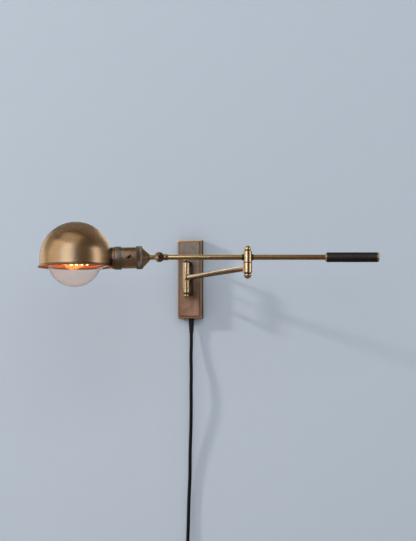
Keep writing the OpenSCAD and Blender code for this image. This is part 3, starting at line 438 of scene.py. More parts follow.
line_deep = 0.55
profile = eased([(1.5, 17.5), (1.5, 0.0), (0.0, 0.0), (0.0, 18.0), (3.0, plate_deep), (3.5, plate_deep),
                 (3.6, plate_deep - line_deep), (4.1, plate_deep - line_deep), (4.2, plate_deep),
                 (6.0, plate_deep)], 0.3, 4)
shape = sheet_of(plate_rings(profile[:, 0], profile[:, 1]), True)
plate = piece("plate_cover", shape, plate_brass, "wall_mount", ("wall_plate",), 35)


# Strap and fixings: a zinc-plated steel strap on the wall, and the brass set screws that hold the plate to it.
# They keep their solids, as do the lamp's other small fixings of the same two metals.
zinc = brushed_metal("zinc", (0.38, 0.38, 0.37), (0.58, 0.58, 0.56), 0.36, (60, 60, 1400))
for name in ("mounting_strap", "bracket_screws", "cap_nut"):
    cad[name].data.materials[0] = zinc

screw_brass = brushed_metal("screw_brass", (0.30, 0.21, 0.10), (0.58, 0.43, 0.23), 0.3, (900, 900, 60))
for name in ("set_screws", "hinge_pin", "swivel_nut", "shade_rivets"):
    cad[name].data.materials[0] = screw_brass


# Wires: stranded copper in smooth dark insulation, inside the plate and the tubes. They keep their solids, as
# do the moulded connectors and the lampholder's moulded insulator.
wire_sleeve = bpy.data.materials.new("wire_sleeve")
nodes, links, shader = plain_nodes(wire_sleeve, (0.02, 0.02, 0.02), 0.4)
grain = speckle(nodes, links, 500)
links.new(graded(nodes, links, grain, 0.3, 0.7, [(0.014, 0.014, 0.014), (0.028, 0.028, 0.028)]),
          shader.inputs["Base Color"])
for name in ("cord_leads", "feed_wires", "arm_wire", "boom_wire", "holder_leads"):
    cad[name].data.materials[0] = wire_sleeve

moulding = bpy.data.materials.new("moulding")
nodes, links, shader = plain_nodes(moulding, (0.03, 0.025, 0.02), 0.45)
grain = speckle(nodes, links, 350, 5)
links.new(graded(nodes, links, grain, 0.3, 0.7, [(0.018, 0.014, 0.011), (0.045, 0.036, 0.028)]),
          shader.inputs["Base Color"])
bumped(nodes, links, shader, grain, 0.15, 0.0003)
for name in ("wire_connectors", "holder_insulator"):
    cad[name].data.materials[0] = moulding


# Hinge bracket: a brass strip screwed to the plate, with two fingers that hold the pin between them. It is
# milled from bar. Its near-black colour is partly darkened brass and partly painted shade from the barrel.
def slab(outline, low, high, edge):
    """An upright-sided block: a closed outline in the plane, carried from low to high, with its edges eased.
    Each row is the outline moved in by the row's inset, square to the outline."""
    nxt, before = np.roll(outline, -1, 0), np.roll(outline, 1, 0)
    slope = nxt - before
    out = np.stack([slope[:, 1], -slope[:, 0]], -1) / np.linalg.norm(slope, axis=1, keepdims=True)
    rows = eased([(2 * edge, low), (0, low), (0, high), (2 * edge, high)], edge, 4)
    grid = outline[None] - rows[:, :1, None] * out[None]
    return np.concatenate([grid, np.broadcast_to(rows[:, 1:, None], (*grid.shape[:2], 1))], -1)


def several(*shapes):
    """Several shapes as one: their points in one list, and each one's faces moved on by the points before
    it."""
    starts = np.cumsum([0] + [len(points) for points, _ in shapes]).tolist()
    faces = [[i + start for i in face] for (_, shape), start in zip(shapes, starts) for face in shape]
    return np.vstack([points for points, _ in shapes]), faces


# This near-black brass is partly the parts' own darkened finish and partly painted shade: the bracket's strip
# lies in the barrel's shade, and the boom's collars stand for the shade where the tube meets the barrel.
dark_brass_and_painted_shade = brushed_metal("dark_brass_and_painted_shade", (0.045, 0.036, 0.022), (0.115, 0.088, 0.052), 0.36,
                              (60, 900, 60))
pin_y, finger_low, finger_high, finger_half, strip_front, milled_edge = -52.0, 27.6, 29.9, 5, 23.0, 0.35
v = np.linspace(-np.pi, 0, 33)
finger_tip = np.stack([finger_half * np.cos(v), pin_y + finger_half * np.sin(v)], -1)
finger = np.vstack([[[finger_half, -strip_front - 0.2], [-finger_half, -strip_front - 0.2]], finger_tip])
strip = rounded_box_ring(2 * finger_half, 2 * finger_high, 0.5, 5)
strip = slab(strip, plate_deep + 0.02, strip_front, milled_edge)
bracket = several(
    sheet_of(slab(finger, finger_low, finger_high, milled_edge), True),
    sheet_of(slab(finger, -finger_high, -finger_low, milled_edge), True),
    sheet_of(np.stack([strip[..., 0], -strip[..., 2], strip[..., 1]], -1), True),
)
holder = piece("bracket", bracket, dark_brass_and_painted_shade, "wall_mount", ("hinge_bracket",), 35)


# Hinge barrel, its washers and the two knobs on the pin's ends: turned brass, lightly polished. The barrel
# turns on the pin, between the bracket's fingers, with a thin washer at each of its ends.
def knob(radius, height, neck, neck_height):
    """A turned knob's profile: a neck, a flat-bottomed bead, and a crown h = n + b + c sin a, r = R cos a."""
    a = np.linspace(0, np.pi / 2, 20)
    crown = height - neck_height - 1.2
    foot = eased([(0, 0), (0, neck), (neck_height, neck), (neck_height, radius * 0.9),
                  (neck_height + 0.5, radius), (neck_height + 1.2, radius)], 0.25, 4)
    return np.vstack([foot, np.stack([neck_height + 1.2 + crown * np.sin(a), radius * np.cos(a)], -1)])


def frame_at(origin, turn=0.0, tilt=0.0):
    """A frame at a place, whose first axis is turned about the upright and tipped down, both in degrees."""
    turned_frame = Matrix.Rotation(math.radians(turn), 4, "Z") @ Matrix.Rotation(math.radians(tilt), 4, "Y")
    return np.array(Matrix.Translation(np.asarray(origin, float).tolist()) @ turned_frame)


def placed(spot, points):
    """Points given in a frame, moved to where the frame is."""
    return np.asarray(points, float) @ spot[:3, :3].T + spot[:3, 3]


def turned_along(spot, profile, sides=64):
    """A turned shape whose axis is the frame's first axis: h x + r (y cos v + z sin v)."""
    rings = turned(profile, sides)
    return placed(spot, np.stack([rings[..., 2], rings[..., 0], rings[..., 1]], -1))


def bored(low, high, radius, bore, edge=0.4, chamfer=0.0):
    """The profile of a turned ring with eased edges. It starts in the bore and ends there, so it closes on
    itself."""
    corners = [((low + high) / 2, bore), (low, bore), (low, radius - chamfer), (low + chamfer, radius),
               (high - chamfer, radius), (high, radius - chamfer), (high, bore)]
    corners = [p for k, p in enumerate(corners) if k == 0 or p != corners[k - 1]]
    return eased(corners, edge)


hinge = np.array([0, pin_y, 0])
upright = np.array([[0, 1, 0, 0], [0, 0, 1, pin_y], [1, 0, 0, 0], [0, 0, 0, 1.0]])
downright = np.array([[0, 1, 0, 0], [0, 0, 1, pin_y], [-1, 0, 0, 0], [0, 0, 0, 1.0]])
barrel_brass = brushed_metal("barrel_brass", (0.46, 0.305, 0.135), (0.74, 0.545, 0.31), 0.19, (14, 14, 260),
                             tarnish=0.75, relief=0.02)
barrel = sheet_of(turned_along(upright, bored(-27, 27, 5.85, 2.6, 0.45), 72), True, "loop")
piece("hinge_barrel", barrel, barrel_brass, "arm", ("arm_barrel",), 35)
washers = several(*[sheet_of(turned_along(spot, bored(27.05, 27.55, 5.05, 2.6, 0.1), 48), True, "loop")
                    for spot in (upright, downright)])
washer_pair = piece("hinge_washer_pair", washers, dark_brass_and_painted_shade, "wall_mount", ("hinge_washers",))
profile = knob(4.95, 7.3, 3.86, 0.7) + np.array([finger_high, 0])
for name, spot in (("hinge_knob_top", upright), ("hinge_knob_bottom", downright)):
    shape = sheet_of(turned_along(spot, profile, 64), True)
    piece(name + "_turned", shape, barrel_brass, "wall_mount", (name,), 35)


# Arm: a 9 mm brass tube, silver-soldered into the barrel and the elbow, with a small collar at each end. Its
# underside is darker than its top: painted shade.
arm_turn, arm_length = -54.3, 254.0
along_arm = frame_at(hinge, arm_turn)
rod_brass = brushed_metal("arm_rod_brass", (0.52, 0.37, 0.19), (0.78, 0.60, 0.36), 0.18, (12, 260, 260),
                          math.radians(-arm_turn), tarnish=0.75, relief=0.02)
tube_radius, tube_bore, collar_bore = 4.5, 3.3, 4.52


def painted_light_by_height(material, low, high, painted_shades):
    """The material's colour multiplied by shades that follow the height, from low to high in metres. This is
    painted light: a painted highlight and painted shade across a rod.
    """
    nodes, links = material.node_tree.nodes, material.node_tree.links
    face = nodes["Principled BSDF"].inputs["Base Color"]
    height = ranged(nodes, links, axes_of(nodes, links)["Z"], low, high, 0, 1)
    painted_there = graded(nodes, links, height, 0, 1, painted_shades)
    links.new(mixed(nodes, links, 1.0, face.links[0].from_socket, painted_there, "MULTIPLY"), face)


painted_light_by_height(rod_brass, -0.0012, 0.0016, [(0.36, 0.28, 0.24), (1, 1, 1)])
shape = sheet_of(turned_along(along_arm, bored(4.6, 246.5, tube_radius, tube_bore, 0.2)), True, "loop")
piece("arm_tube", shape, rod_brass, "arm", ("arm_rod",), 35)
for name, low, high in (("arm_ferrule_wall", 4.9, 8.85), ("arm_ferrule_elbow", 243.2, 247.4)):
    shape = sheet_of(turned_along(along_arm, bored(low, high, 5.6, collar_bore)), True, "loop")
    piece(name + "_ring", shape, barrel_brass, "arm", (name,), 35)


# Elbow: two turned brass barrels, one on the other, with dark washers. The lower one belongs to the arm; the
# upper one, the stud through both and the two knobs turn with the boom.
elbow = placed(along_arm, [arm_length, 0, 0])
elbow_up = upright + np.array([[0, 0, 0, elbow[0]], [0, 0, 0, elbow[1] - pin_y], [0, 0, 0, 0], [0, 0, 0, 0]])
elbow_down = elbow_up * np.array([[1], [1], [-1], [1]])
elbow_radius, elbow_bore = 7.8, 4.1
lower, upper = [bored(low, high, elbow_radius, elbow_bore, 0.3, 0.6)
                for low, high in ((-8.2, 9.4), (9.8, 29.8))]
shape = sheet_of(turned_along(elbow_up, lower, 80), True, "loop")
piece("elbow_lower", shape, barrel_brass, "arm", ("elbow_lower_barrel",), 35)
shape = sheet_of(turned_along(elbow_up, upper, 80), True, "loop")
piece("elbow_upper", shape, barrel_brass, "boom", ("elbow_upper_barrel",), 35)
# This near-black bronze is the washers' own colour. On the knobs' necks and in the screw's slot it is painted
# shade.
dark_washer_and_painted_shade = brushed_metal("washer_bronze_and_painted_shade", (0.02, 0.015, 0.011), (0.06, 0.045, 0.032), 0.45, (600, 600, 60))
washers = several(sheet_of(turned_along(elbow_up, bored(9.45, 9.75, 7.1, 4.05, 0.1)), True, "loop"),
                  sheet_of(turned_along(elbow_up, bored(-9.1, -8.25, 6.0, 4.05, 0.1)), True, "loop"))
piece("elbow_washer_pair", washers, dark_washer_and_painted_shade, "boom", ("elbow_washers",))


def partly(obj, material, spot, chosen):
    """A second material on the faces that `chosen` picks from their middles, which it is given in the frame,
    in millimetres."""
    obj.data.materials.append(material)
    middles = np.empty(len(obj.data.polygons) * 3)
    obj.data.polygons.foreach_get("center", middles)
    middles = (middles.reshape(-1, 3) / MM - spot[:3, 3]) @ spot[:3, :3]
    obj.data.polygons.foreach_set("material_index", chosen(middles).astype(np.int32))
    return obj


# Each knob's neck gets the dark washer metal: painted shade in the groove between the knob and the barrel.
shape = sheet_of(turned_along(elbow_up, knob(5.8, 9.4, 5.2, 1.6) + np.array([29.8, 0]), 72), True)
top_knob = piece("elbow_top_knob", shape, barrel_brass, "boom", ("elbow_knob_top",), 35)
partly(top_knob, dark_washer_and_painted_shade, elbow_up, lambda at: at[:, 0] < 31.6)
shape = sheet_of(turned_along(elbow_down, knob(6.7, 9.4, 5.7, 1.2) + np.array([9.2, 0]), 72), True)
low_knob = piece("elbow_bottom_knob", shape, barrel_brass, "boom", ("elbow_knob_bottom",), 35)
partly(low_knob, dark_washer_and_painted_shade, elbow_down, lambda at: at[:, 0] < 10.5)
cad["elbow_stud"].data.materials[0] = barrel_brass


# Boom: a 9 mm brass tube through the upper barrel, with a collar on each side of it. The collars' dark colour
# is partly painted shade where the tube meets the barrel. The weight on its right end balances the lampholder
# on its left end.
boom_turn, boom_up = 10.6, 18.8
along_boom = frame_at(elbow + np.array([0, 0, boom_up]), boom_turn)
boom_brass = brushed_metal("boom_rod_brass", (0.72, 0.48, 0.20), (1.0, 0.72, 0.34), 0.21, (12, 260, 260),
                           math.radians(-boom_turn), tarnish=0.75, relief=0.02)
# Painted light on the boom: a narrow painted highlight just above its middle, and painted shade below and
# above it, on brass made very light for the highlight.
painted_boom_light = [(0.52, 0.49, 0.47), (0.52, 0.49, 0.47), (0.42, 0.42, 0.41), (1, 1, 1), (0.55, 0.51, 0.48),
               (0.45, 0.40, 0.36)]
painted_light_by_height(boom_brass, 0.0143, 0.0233, painted_boom_light)
shape = sheet_of(turned_along(along_boom, bored(-143.2, 145, tube_radius, tube_bore, 0.2)), True, "loop")
piece("boom_tube", shape, boom_brass, "boom", ("boom_rod",), 35)
collars = several(*[sheet_of(turned_along(along_boom, bored(low, low + 3.5, 5.3, collar_bore)), True, "loop")
                    for low in (6.8, -10.3)])
piece("boom_collars", collars, dark_brass_and_painted_shade, "boom", ("boom_bushes",), 35)


# Weight: a knurled bronze bar, darkened almost black, pushed on the boom's right end. A bright cone ends it
# towards the elbow, and a bright cap closes its far end.
bronze = brushed_metal("weight_bronze", (0.046, 0.042, 0.037), (0.080, 0.073, 0.065), 0.42, (300, 300, 300),
                       tarnish=0.2)
weight_radius, weight_from, weight_to = 8.5, 137.0, 224.0
knurl_count, knurl_deep, knurl_slope = 33, 0.34, math.tan(math.radians(30))
h = np.linspace(weight_from, weight_to, 330)
v = np.linspace(0, 2 * np.pi, 6 * knurl_count, endpoint=False)
# Two sets of slanting grooves, |sin(pi (h + s) / p)| and |sin(pi (h - s) / p)|, cross to leave diamonds. They
# fade out at both ends of the bar.
slant = weight_radius * v[None, :] * knurl_slope
pitch = weight_radius * 2 * np.pi / knurl_count * knurl_slope
one_way, other_way = [np.abs(np.sin(np.pi * (h[:, None] + way * slant) / pitch)) for way in (1, -1)]
fade = np.clip((np.minimum(h - weight_from, weight_to - h) - 0.6) / 0.8, 0, 1)[:, None]
r = weight_radius - knurl_deep * (1 - np.minimum(one_way, other_way) ** 0.6) * fade
knurled = np.stack([np.broadcast_to(h[:, None], r.shape), r * np.cos(v), r * np.sin(v)], -1)
shape = sheet_of(placed(along_boom, knurled), True)
piece("weight_bar", shape, bronze, "boom", ("weight",), 50)
cone = eased([(135, 4.55), (133.8, 4.55), (133.8, 5.1), (136.4, 8.4), (137.1, weight_radius), (137.1, 4.55)],
             0.3)
shape = sheet_of(turned_along(along_boom, cone, 80), True, "loop")
piece("weight_cone", shape, barrel_brass, "boom", ("weight_ferrule",), 35)
a = np.linspace(0, np.pi / 2, 14)
cap_edge = eased([(weight_to, 0), (weight_to, 8.0), (224.3, 8.0), (224.3, weight_radius),
                  (225.5, weight_radius)], 0.15, 3)
end_cap = np.vstack([cap_edge, np.stack([225.5 + 2.5 * np.sin(a), weight_radius * np.cos(a) ** 0.8], -1)])
shape = sheet_of(turned_along(along_boom, end_cap, 80), True)
piece("weight_end", shape, barrel_brass, "boom", ("weight_cap",), 35)


# Swivel: two turned brass discs face to face, one on the boom and one on the lampholder, with a dark fibre
# washer between them. A slotted screw holds them tight.
swivel = placed(along_boom, [-152.7, 0, 0])
swivel_front, swivel_back = frame_at(swivel, boom_turn - 90), frame_at(swivel, boom_turn + 90)
head = frame_at(swivel, boom_turn + 180, 1.2)
half_stem = np.linspace(-np.pi / 2, np.pi / 2, 15)


def stem_root(radius, width, low, high):
    """The half-round root of a stem, beside the other disc: its flat side is in the gap between the discs."""
    outline = np.vstack([[[-0.5, radius - 0.3]], np.stack([-0.5 - (radius - 0.5) * np.cos(half_stem),
                                                           -radius * np.sin(half_stem)], -1)])
    return slab(outline[:, ::-1], low, high, width)


disc = bored(0.5, 5.1, 8.6, 2.3, 0.5)
root = stem_root(5.3, 0.02, 5.5, 9.2)
base = several(
    sheet_of(turned_along(swivel_front, disc, 72), True, "loop"),
    sheet_of(turned_along(frame_at(swivel, boom_turn), bored(8.95, 15.5, 5.3, 3.3, 0.5), 48), True, "loop"),
    sheet_of(placed(frame_at(swivel, boom_turn), root[..., [2, 1, 0]]), True),
)
aged = brushed_metal("swivel_brass", (0.15, 0.09, 0.045), (0.56, 0.38, 0.20), 0.18, (200, 200, 200),
                     tarnish=0.8)
piece("swivel_front_half", base, aged, "boom", ("swivel_base",), 35)
root = stem_root(4.3, 0.02, 5.5, 9.2)
ear = several(
    sheet_of(turned_along(swivel_back, disc, 72), True, "loop"),
    sheet_of(turned_along(head, bored(8.95, 22.0, 4.3, 1.9, 0.4), 48), True, "loop"),
    sheet_of(placed(head, root[..., [2, 1, 0]]), True),
)
piece("swivel_back_half", ear, barrel_brass, "head", ("swivel_ear",), 35)
shape = sheet_of(turned_along(swivel_front, bored(-0.45, 0.45, 7.9, 2.3, 0.1), 64), True, "loop")
piece("swivel_fibre", shape, dark_washer_and_painted_shade, "head", ("swivel_washer",))

# The screw's head is a grid of lines along the slot. Each line crosses the round head, and its height is that
# of a shallow dome, less the slot's depth where it runs in the slot. Two lines close together make each wall
# of the slot.
screw_radius, screw_low, screw_top, screw_crown, slot_deep = 5.2, 4.8, 5.1, 1.6, 1.2
slot_wall, slot_floor = 1.05, 1.04
beside = screw_radius * np.sin(np.linspace(0.205, np.pi / 2, 14))
beside[0] = slot_wall
across = np.concatenate([-beside[::-1], [-slot_floor, slot_floor], beside])
in_slot = np.abs(across) < (slot_wall + slot_floor) / 2
length = np.sqrt(np.maximum(screw_radius**2 - across**2, 0))
share = np.sin(np.linspace(-np.pi / 2, np.pi / 2, 25))
p, q = share[:, None] * length, np.broadcast_to(across, (25, len(across)))
domed = np.sqrt(np.maximum(1 - 0.75 * (p**2 + q**2) / screw_radius**2, 0))
top = screw_top + screw_crown * domed - np.where(in_slot, slot_deep, 0)
low = np.full_like(top, screw_low)
over = np.concatenate([np.stack([top, p, q], -1), np.stack([low, p, q], -1)[::-1]])
slot_frame = swivel_front @ np.array(Matrix.Rotation(math.radians(-45), 4, "X"))
shape = several(sheet_of(placed(slot_frame, over.transpose(1, 0, 2)), True, "open"),
                sheet_of(turned_along(swivel_front, [(4.9, 2.1), (-8.6, 2.1)], 32), True))
screw = piece("swivel_slotted_screw", shape, aged, "boom", ("swivel_screw",), 35)
# The slot's floor and walls get the dark washer metal: painted shade in the slot.
screw = partly(screw, dark_washer_and_painted_shade, slot_frame, lambda at: (np.abs(at[:, 2]) < 1.1) & (at[:, 0] > 4.85))


# Lampholder: a turned brass cap with a cone and a finely knurled band, a smooth body with the switch in it,
# and a smooth band at the mouth. The brass is darkened unevenly.
def ribbed(profile, ribs, depth, low, high, sides):
    """A turned surface whose radius is r - d |cos(n v / 2)| between two heights, for a fine straight
    knurl."""
    rings = turned(profile, sides)
    v = np.linspace(0, 2 * np.pi, sides, endpoint=False)
    h = rings[..., 2]
    on = np.clip(np.minimum(h - low, high - h) / 0.4, 0, 1) * (np.hypot(rings[..., 0], rings[..., 1]) > 19)
    scale = 1 - on * depth * np.abs(np.cos(ribs * v / 2)) / 20
    return np.stack([h, rings[..., 0] * scale, rings[..., 1] * scale], -1)


holder_brass = brushed_metal("holder_brass", (0.20, 0.120, 0.068), (0.52, 0.345, 0.225), 0.27, (700, 60, 700),
                             tarnish=0.7)
band_brass = brushed_metal("band_brass", (0.16, 0.125, 0.088), (0.31, 0.25, 0.18), 0.42, (60, 900, 900),
                           tarnish=0.6)
band_radius = 20.0
cap = eased([(18, 3.4), (16, 3.4), (16, 5.3), (25.5, 15.0), (28.6, 19.0), (29.4, band_radius),
             (34, band_radius), (39.4, band_radius), (39.4, 18.5), (30.6, 18.5), (30.4, 17.4), (29.5, 17.4),
             (19.6, 6.0), (19.6, 3.4)], 0.7)
cap = np.vstack([cap, [[18.2, 3.4]]])
shape = sheet_of(placed(head, ribbed(cap, 120, 0.5, 29.9, 39.0, 960)), True, "loop")
holder_cap = piece("holder_cap", shape, band_brass, "head", ("lampholder_cap",), 30)
cone_brass = brushed_metal("cone_brass", (0.10, 0.065, 0.034), (0.40, 0.275, 0.15), 0.18, (700, 60, 700),
                           tarnish=0.7)
partly(holder_cap, cone_brass, head, lambda at: at[:, 0] < 29.6)
front_band = eased([(68, 18.5), (65.4, 18.5), (65.4, band_radius), (76.6, band_radius), (76.6, 18.8),
                    (70.1, 18.8), (70.0, 18.5)], 0.35)
shape = sheet_of(turned_along(head, front_band, 960), True, "loop")
piece("holder_front_band", shape, band_brass, "head", ("lampholder_ring",), 30)


def pierced(outer, inner, near, across, radius, pole=False):
    """Two like grids, closed round their columns, as one shell with a round hole. `near` is each outer
    point's offset from the hole's middle along the two directions in `across`. Cells with a corner inside the
    radius go, the corners beside them move to the radius, and the shell's two walls are joined wherever a
    cell has no neighbour."""
    rows, cols = outer.shape[:2]
    far = np.hypot(near[..., 0], near[..., 1])
    inside = far < radius
    nearest = inside | np.roll(inside, -1, 1)
    kept = ~(nearest[:-1] | nearest[1:])
    open_cells = np.vstack([np.zeros((1, cols), bool), ~kept, np.zeros((1, cols), bool)])
    open_cells |= np.roll(open_cells, 1, 1)
    rim = (open_cells[:-1] | open_cells[1:]) & ~inside
    move = (np.where(rim, radius / np.maximum(far, 1e-6) - 1, 0)[..., None] * near) @ np.asarray(across)
    index = np.arange(rows * cols).reshape(rows, cols)
    a, b, c, d = index[:-1], np.roll(index, -1, 1)[:-1], np.roll(index, -1, 1)[1:], index[1:]
    beyond = np.vstack([np.full((1, cols), pole), kept, np.zeros((1, cols), bool)])
    faces = [np.stack([a, b, c, d], -1)[kept], np.stack([d, c, b, a], -1)[kept] + rows * cols]
    for one, two, other in ((a, b, beyond[:-2]), (c, d, beyond[2:]),
                            (d, a, np.roll(kept, 1, 1)), (b, c, np.roll(kept, -1, 1))):
        faces.append(np.stack([one, two, two + rows * cols, one + rows * cols], -1)[kept & ~other])
    used, faces = np.unique(np.vstack(faces), return_inverse=True)
    points = np.concatenate([outer + move, inner + move]).reshape(-1, 3)[used]
    return points, faces.reshape(-1, 4).tolist()


# The body's wall has its rows and columns closer together round the key's hole. 99 mm stands for far from it.
key_at, key_hole, far_off = 52.4, 2.4, 99.0
h = np.concatenate([[30.6], np.arange(31.2, 48.5, 0.9), np.arange(48.6, 56.3, 0.25),
                    np.arange(56.7, 69.5, 0.9), [69.8]])
v = np.linspace(-np.pi, np.pi, 360, endpoint=False)
v = v - 0.75 * np.exp(-(v / 0.5) ** 2) * v
outer, inner = [np.stack(np.broadcast_arrays(h[:, None], r * np.cos(v), r * np.sin(v)), -1)
                for r in (18.4, 17.5)]
near = np.where((outer[..., 1:2] > 0), np.stack([outer[..., 0] - key_at, outer[..., 2]], -1), far_off)
shape = pierced(placed(head, outer), placed(head, inner), near, head[:3, [0, 2]].T, key_hole)
piece("holder_body", shape, holder_brass, "head", ("lampholder_body",), 35)
cad["screw_shell"].data.materials[0] = blade_brass
cad["centre_contact"].data.materials[0] = blade_brass


# Turn key: a short brass stem with a flat paddle, pinched thin between finger and thumb. It comes out of the
# lampholder's side and switches the lamp.
key_out = head @ np.array(Matrix.Translation((key_at, 0, 0)) @ Matrix.Rotation(math.radians(90), 4, "Z"))
stem_shape = sheet_of(turned_along(key_out, [(7, 2.0), (21.6, 2.0)], 40), True)
# The paddle's outline is a rounded square, x = a cos(v)^0.75 and y = b sin(v)^0.75, narrower towards the
# stem. Its thickness follows the same outline drawn in towards the middle.
paddle_at, paddle_long, paddle_wide, paddle_half_thick = 25.1, 4.3, 5.5, 1.45
v = np.linspace(0, 2 * np.pi, 65)[:-1]
wide = np.sign(np.cos(v)) * np.abs(np.cos(v)) ** 0.75 * paddle_wide
long = paddle_at + np.sign(np.sin(v)) * np.abs(np.sin(v)) ** 0.75 * paddle_long
wide = np.where(long < paddle_at, wide * (1 - 0.35 * ((paddle_at - long) / paddle_long) ** 2), wide)
outline = np.stack([long, wide], -1)[::-1]
share = np.concatenate([np.linspace(0, 0.86, 9), [0.93, 0.975, 1.0]])
middle = np.array([paddle_at, 0])
half = paddle_half_thick * np.sqrt(np.maximum(1 - share**8, 0)) * (0.72 + 0.28 * share**2)
grid = middle + share[:, None, None] * (outline - middle)
front = np.concatenate([grid, np.broadcast_to(half[:, None, None], (*grid.shape[:2], 1))], -1)
paddle = np.concatenate([front, (front * np.array([1, 1, -1]))[-2::-1]])
key_turned = key_out @ np.array(Matrix.Rotation(math.radians(-55 + 90), 4, "X"))
key = several(stem_shape, sheet_of(placed(key_turned, paddle), True))
key_bronze = brushed_metal("key_bronze", (0.028, 0.019, 0.012), (0.13, 0.085, 0.048), 0.2, (300, 300, 300),
                           tarnish=0.8)
piece("switch_key_paddle", key, key_bronze, "switch_key", ("turn_key",), 40)


# Copper ring and collar: a spun copper ring screwed on the lampholder's mouth, and a collar that the shade is
# riveted to. The collar's near-black colour is partly its own dark metal and partly painted shade in the gap
# between the ring and the dome. The collar's far edge follows the dome.
copper = brushed_metal("copper_spun", (0.22, 0.115, 0.060), (0.46, 0.255, 0.140), 0.26, (60, 700, 700),
                       tarnish=0.6)
profile = eased([(75, 14.3), (70.8, 14.3), (70.8, 18.7), (76.9, 18.7), (77.4, 19.1), (79.8, 19.1),
                 (80.3, 18.7), (80.6, 18.7), (80.6, 14.3)], 0.25)
shape = sheet_of(turned_along(head, profile, 120), True, "loop")
piece("copper_band", shape, copper, "head", ("copper_ring",), 35)

# Each point of the collar keeps its share of the way from the ring to the dome, which is where
# (x - dome_reach)^2 + y^2 + above^2 = dome_radius^2.
dome_radius, dome_reach, dome_drop = 63.0, 144.1, 1.32
collar_from, collar_to, collar_radius, collar_inside = 80.65, 85.0, 18.8, 14.25
profile = eased([(82, collar_inside), (collar_from, collar_inside), (collar_from, collar_radius),
                 (collar_to, collar_radius), (collar_to, collar_inside)], 0.15)
rings = turned(profile, 160)
y, z = rings[..., 0], rings[..., 1]
above = np.maximum(z - dome_drop, 0)
meet = dome_reach - np.sqrt(dome_radius**2 - y**2 - above**2) - 0.1
share = np.clip((rings[..., 2] - collar_from) / (collar_to - collar_from), 0, 1)
rings = np.stack([collar_from + share * (meet - collar_from), y, z], -1)
collar_dark_painted_shade = brushed_metal("collar_dark_painted_shade", (0.03, 0.022, 0.016), (0.10, 0.072, 0.05), 0.4, (60, 700, 700),
                            tarnish=0.5)
shape = sheet_of(placed(head, rings), True, "loop")
piece("dome_collar", shape, collar_dark_painted_shade, "head", ("shade_collar",), 35)


# Shade: half a globe spun from brass sheet, with a short straight skirt and a flared, rolled lip. Outside it
# is aged to brown, and the fine rings of the spinning run round it. A round hole in its side takes the
# lampholder.
shade_brass = bpy.data.materials.new("shade_brass")
nodes, links, shader = plain_nodes(shade_brass, (0.30, 0.20, 0.125), 0.3, 1.0)
shader.inputs["Anisotropic"].default_value = 0.6
tangent = nodes.new("ShaderNodeTangent")
tangent.direction_type = "RADIAL"
tangent.axis = "Z"
links.new(tangent.outputs["Tangent"], shader.inputs["Tangent"])
rings_of = speckle(nodes, links, 1, 5, (14, 14, 1800))
cloud = speckle(nodes, links, 28, 6, rough=0.62)
both = nodes.new("ShaderNodeMix")
both.inputs["Factor"].default_value = 0.4
links.new(rings_of, both.inputs["A"])
links.new(cloud, both.inputs["B"])
browns = [(0.35, 0.212, 0.100), (0.425, 0.268, 0.135), (0.48, 0.312, 0.168)]
aged_brown = graded(nodes, links, both.outputs["Result"], 0.35, 0.65, browns)
links.new(ranged(nodes, links, cloud, 0.3, 0.7, 0.285, 0.265), shader.inputs["Roughness"])
bumped(nodes, links, shader, rings_of, 0.03, 0.0002)
# Painted shade: a dark line, a millimetre high, runs round the shade where its skirt meets the lip, for the
# shade in that crease.
painted_crease_height, painted_crease_half = 0.0057, 0.0005
painted_crease_shade = worked(nodes, links, "COMPARE", axes_of(nodes, links)["Z"], painted_crease_height, painted_crease_half)
painted_lined = mixed(nodes, links, painted_crease_shade, aged_brown, (0.30, 0.24, 0.20), "MULTIPLY")
links.new(painted_lined, shader.inputs["Base Color"])
# The inside's redder brass is partly its own finish and partly a painted warm glow of the bulb's light.
inside_brass_painted_glow = brushed_metal("inside_brass_painted_glow", (0.34, 0.15, 0.052), (0.48, 0.235, 0.085), 0.36, (14, 14, 1800),
                             tarnish=0.7)

dome = frame_at(placed(along_boom, [-296.8, 0, -1.7]), boom_turn)
a = np.linspace(0, np.pi / 2, 84)
skirt_length, sheet_thick = 11.2, 1.0
skirt = -np.linspace(0, skirt_length, 14)[1:]
lip = eased([(-skirt_length, 0.0), (-12.2, 0.0), (-14.8, 2.6), (-15.3, 2.95), (-15.55, 2.8)], 0.9, 6)[1:]
z = np.concatenate([dome_radius * np.cos(a), skirt, lip[:, 0]])
r = np.concatenate([dome_radius * np.sin(a), np.full(len(skirt), dome_radius), dome_radius + lip[:, 1]])
# The inner wall is the outer one moved in, square to itself, by the sheet's thickness, which thins at the
# lip's edge.
slope = np.gradient(np.stack([r, z], -1), axis=0)
inward = np.stack([slope[:, 1], -slope[:, 0]], -1) / np.linalg.norm(slope, axis=1, keepdims=True)
thin = sheet_thick * np.concatenate([np.full(len(z) - 3, 1.0), [0.9, 0.75, 0.45]])
inside_r, inside_z = r + thin * inward[:, 0], z + thin * inward[:, 1]
inside_r[0] = 0
# The lip isn't flared for 13 degrees to each side of the lampholder, and comes up over the next 3 degrees.
straight, coming, lip_room = 13, 3, 9
v = np.linspace(-np.pi, np.pi, 400, endpoint=False)
flare = np.clip((np.abs(np.degrees(v)) - straight) / coming, 0, 1)
flare = flare**2 * (3 - 2 * flare)
outer_r = np.minimum(r[:, None], dome_radius + flare * lip_room)
inner_r = np.minimum(inside_r[:, None], dome_radius - sheet_thick + flare * lip_room)
outer, inner = [
    placed(dome, np.stack([ring * np.cos(v), ring * np.sin(v), np.broadcast_to(h[:, None], ring.shape)], -1))
    for ring, h in ((outer_r, z), (inner_r, inside_z))
]
shade_hole = 13.8
in_head = (outer - head[:3, 3]) @ head[:3, :3]
near = np.where(in_head[..., :1] < 100, in_head[..., 1:], far_off)
shape = pierced(outer, inner, near, head[:3, 1:3].T, shade_hole, pole=True)
shade = piece("shade_dome", shape, shade_brass, "head", ("shade",), 50)
normals = np.empty(len(shade.data.polygons) * 3)
